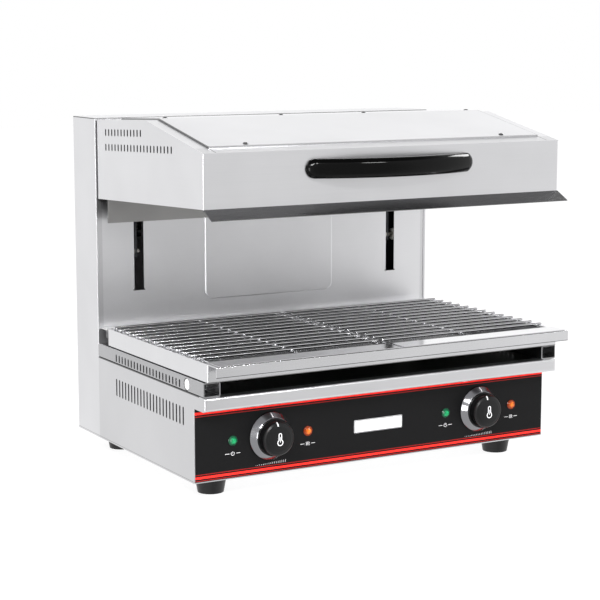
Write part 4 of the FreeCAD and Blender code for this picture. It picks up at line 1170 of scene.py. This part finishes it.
class SALAMANDER_OT_studio(bpy.types.Operator):
    """Sets up the pale floor, the soft lights, the world and the camera"""

    bl_idname = "salamander.studio"
    bl_label = "Studio"

    FLOOR_HALF_MM = 9000
    FLOOR_DROP_MM = 0.2
    # Directions, in the world's own axes, in which mirrors see a darker and a brighter spot
    DARKER_WAY = (0.0, -1.0, -0.1)
    BRIGHTER_WAY = (0.49, 0.73, 0.48)
    # Metres: the point that every light faces, and each light's place, width, height and watts
    AIM = (0, 0, 0.25)
    LIGHTS = (
        ("left_softbox", (-1.45, -1.2, 1.5), 0.5, 0.45, 34),
        ("front_left_softbox", (-0.84, -1.79, 1.49), 0.3, 0.5, 20),
        ("front_right_softbox", (0.5, -2.1, 1.5), 0.5, 0.25, 18),
        ("low_left_strip", (-1.8, -1.0, 0.2), 0.3, 0.8, 6),
        ("right_softbox", (2.0, 0.1, 1.6), 0.6, 0.6, 20),
    )
    CAMERA_PLACE = (-1.33783, -2.27109, 0.64455)
    CAMERA_LENS = 104.38
    CAMERA_FROM_LEFT = math.radians(29.86)
    CAMERA_ABOVE = math.radians(8.72)

    def floor(self):
        """A pale floor that mirrors look through, so that the sheets show the even studio."""
        half = self.FLOOR_HALF_MM
        flat = ((-half, -half), (half, -half), (half, half), (-half, half))
        corners = [(x, y, -self.FLOOR_DROP_MM) for x, y in flat]
        mesh = mesh_from("studio_floor", corners, [(0, 1, 2, 3)])
        floor = bpy.data.objects.new("studio_floor", mesh)
        bpy.context.scene.collection.objects.link(floor)
        material = bpy.data.materials.new("studio_floor_white")
        material.use_nodes = True
        tree = material.node_tree
        tree.nodes.clear()
        path = add_node(tree, "ShaderNodeLightPath").outputs
        paint = add_node(tree, "ShaderNodeBsdfDiffuse", {"Color": linear("#FAFAFA")})
        faint = add_node(tree, "ShaderNodeBsdfDiffuse", {"Color": linear("#808080")})
        white = add_node(tree, "ShaderNodeEmission", {"Color": linear("#FFFFFF"), "Strength": 0.88})
        clear = add_node(tree, "ShaderNodeBsdfTransparent")
        seen = add_node(tree, "ShaderNodeAddShader", {0: faint.outputs[0], 1: white.outputs[0]})
        lit = mix_shaders(tree, path["Is Camera Ray"], paint, seen)
        last = mix_shaders(tree, path["Is Glossy Ray"], lit, clear)
        add_node(tree, "ShaderNodeOutputMaterial", {"Surface": last.outputs[0]})
        mesh.materials.append(material)

    def world(self, scene):
        """White for the camera; for mirrors a pale room with a darker front and a dark ceiling."""
        world = bpy.data.worlds.new("studio_world")
        scene.world = world
        world.use_nodes = True
        tree = world.node_tree
        tree.nodes.clear()
        path = add_node(tree, "ShaderNodeLightPath").outputs
        way = add_node(tree, "ShaderNodeTexCoord").outputs["Generated"]
        up = add_node(tree, "ShaderNodeSeparateXYZ", {"Vector": way}).outputs["Z"]

        def toward(direction):
            """How nearly a ray goes one way."""
            return add_node(
                tree, "ShaderNodeVectorMath", {0: way, 1: direction}, operation="DOT_PRODUCT"
            ).outputs["Value"]

        def fade(value, start, end, last):
            """One up to start, then smoothly to last at end."""
            return add_node(
                tree,
                "ShaderNodeMapRange",
                {"Value": value, "From Min": start, "From Max": end, "To Min": 1.0, "To Max": last},
                interpolation_type="SMOOTHSTEP",
            ).outputs["Result"]

        def white(strength):
            """White light of a strength."""
            inputs = {"Color": linear("#FFFFFF"), "Strength": strength}
            return add_node(tree, "ShaderNodeBackground", inputs)

        front = fade(toward(self.DARKER_WAY), 0.7, 0.96, 0.6)
        behind = fade(toward(self.BRIGHTER_WAY), 0.7, 0.97, 1.2)
        ceiling = fade(up, 0.5, 0.8, 0.1)
        walls = compute(tree, "MULTIPLY", front, behind)
        room = compute(tree, "MULTIPLY", walls, ceiling)
        seen = compute(tree, "MAXIMUM", path["Is Glossy Ray"], path["Is Transmission Ray"])
        first = mix_shaders(tree, seen, white(0.7), white(room))
        last = mix_shaders(tree, path["Is Camera Ray"], first, white(1.0))
        add_node(tree, "ShaderNodeOutputWorld", {"Surface": last.outputs[0]})

    def lamps(self, scene):
        """Soft lights that all face the middle of the grill."""
        for name, place, wide, tall, power in self.LIGHTS:
            light = bpy.data.lights.new(name, "AREA")
            light.shape = "RECTANGLE"
            light.size = wide
            light.size_y = tall
            light.energy = power
            lamp = bpy.data.objects.new(name, light)
            lamp.visible_camera = False
            lamp.location = place
            aim = Vector(self.AIM) - Vector(place)
            lamp.rotation_euler = aim.to_track_quat("-Z", "Y").to_euler()
            scene.collection.objects.link(lamp)

    def camera(self, scene):
        """The camera that was fitted to the photograph, from the left and a little above."""
        data = bpy.data.cameras.new("photo_camera")
        data.sensor_width = 36.0
        data.lens = self.CAMERA_LENS
        data.clip_end = 50.0
        camera = bpy.data.objects.new("photo_camera", data)
        camera.location = self.CAMERA_PLACE
        camera.rotation_euler = (math.pi / 2 - self.CAMERA_ABOVE, 0, -self.CAMERA_FROM_LEFT)
        scene.collection.objects.link(camera)
        scene.camera = camera

    def execute(self, context):
        scene = context.scene
        scene.view_settings.view_transform = "Standard"
        self.floor()
        self.world(scene)
        self.lamps(scene)
        self.camera(scene)
        return {"FINISHED"}


STEPS = (
    SALAMANDER_OT_finishes,
    SALAMANDER_OT_handle,
    SALAMANDER_OT_knob_marks,
    SALAMANDER_OT_panel_signs,
    SALAMANDER_OT_lamp_jewels,
    SALAMANDER_OT_badge_rim,
    SALAMANDER_OT_rail_bumpers,
    SALAMANDER_OT_screws,
    SALAMANDER_OT_studio,
)


class SALAMANDER_PT_panel(bpy.types.Panel):
    """Lists the sizes, the colours and the build steps"""

    bl_idname = "SALAMANDER_PT_panel"
    bl_label = "Salamander Grill"
    bl_space_type = "VIEW_3D"
    bl_region_type = "UI"
    bl_category = "Salamander"

    def draw(self, context):
        column = self.layout.column()
        for name in SalamanderLook.__annotations__:
            column.prop(context.scene.salamander_look, name)
        for step in STEPS:
            column.operator(step.bl_idname)


CLASSES = (SalamanderLook,) + STEPS + (SALAMANDER_PT_panel,)


def register():
    for item in CLASSES:
        bpy.utils.register_class(item)
    bpy.types.Scene.salamander_look = bpy.props.PointerProperty(type=SalamanderLook)


def unregister():
    del bpy.types.Scene.salamander_look
    for item in reversed(CLASSES):
        bpy.utils.unregister_class(item)


def main():
    register()
    bpy.ops.salamander.finishes()
    bpy.ops.salamander.handle()
    bpy.ops.salamander.knob_marks()
    bpy.ops.salamander.panel_signs()
    bpy.ops.salamander.lamp_jewels()
    bpy.ops.salamander.badge_rim()
    bpy.ops.salamander.rail_bumpers()
    bpy.ops.salamander.screws()
    bpy.ops.salamander.studio()


if __name__ == "__main__":
    main()
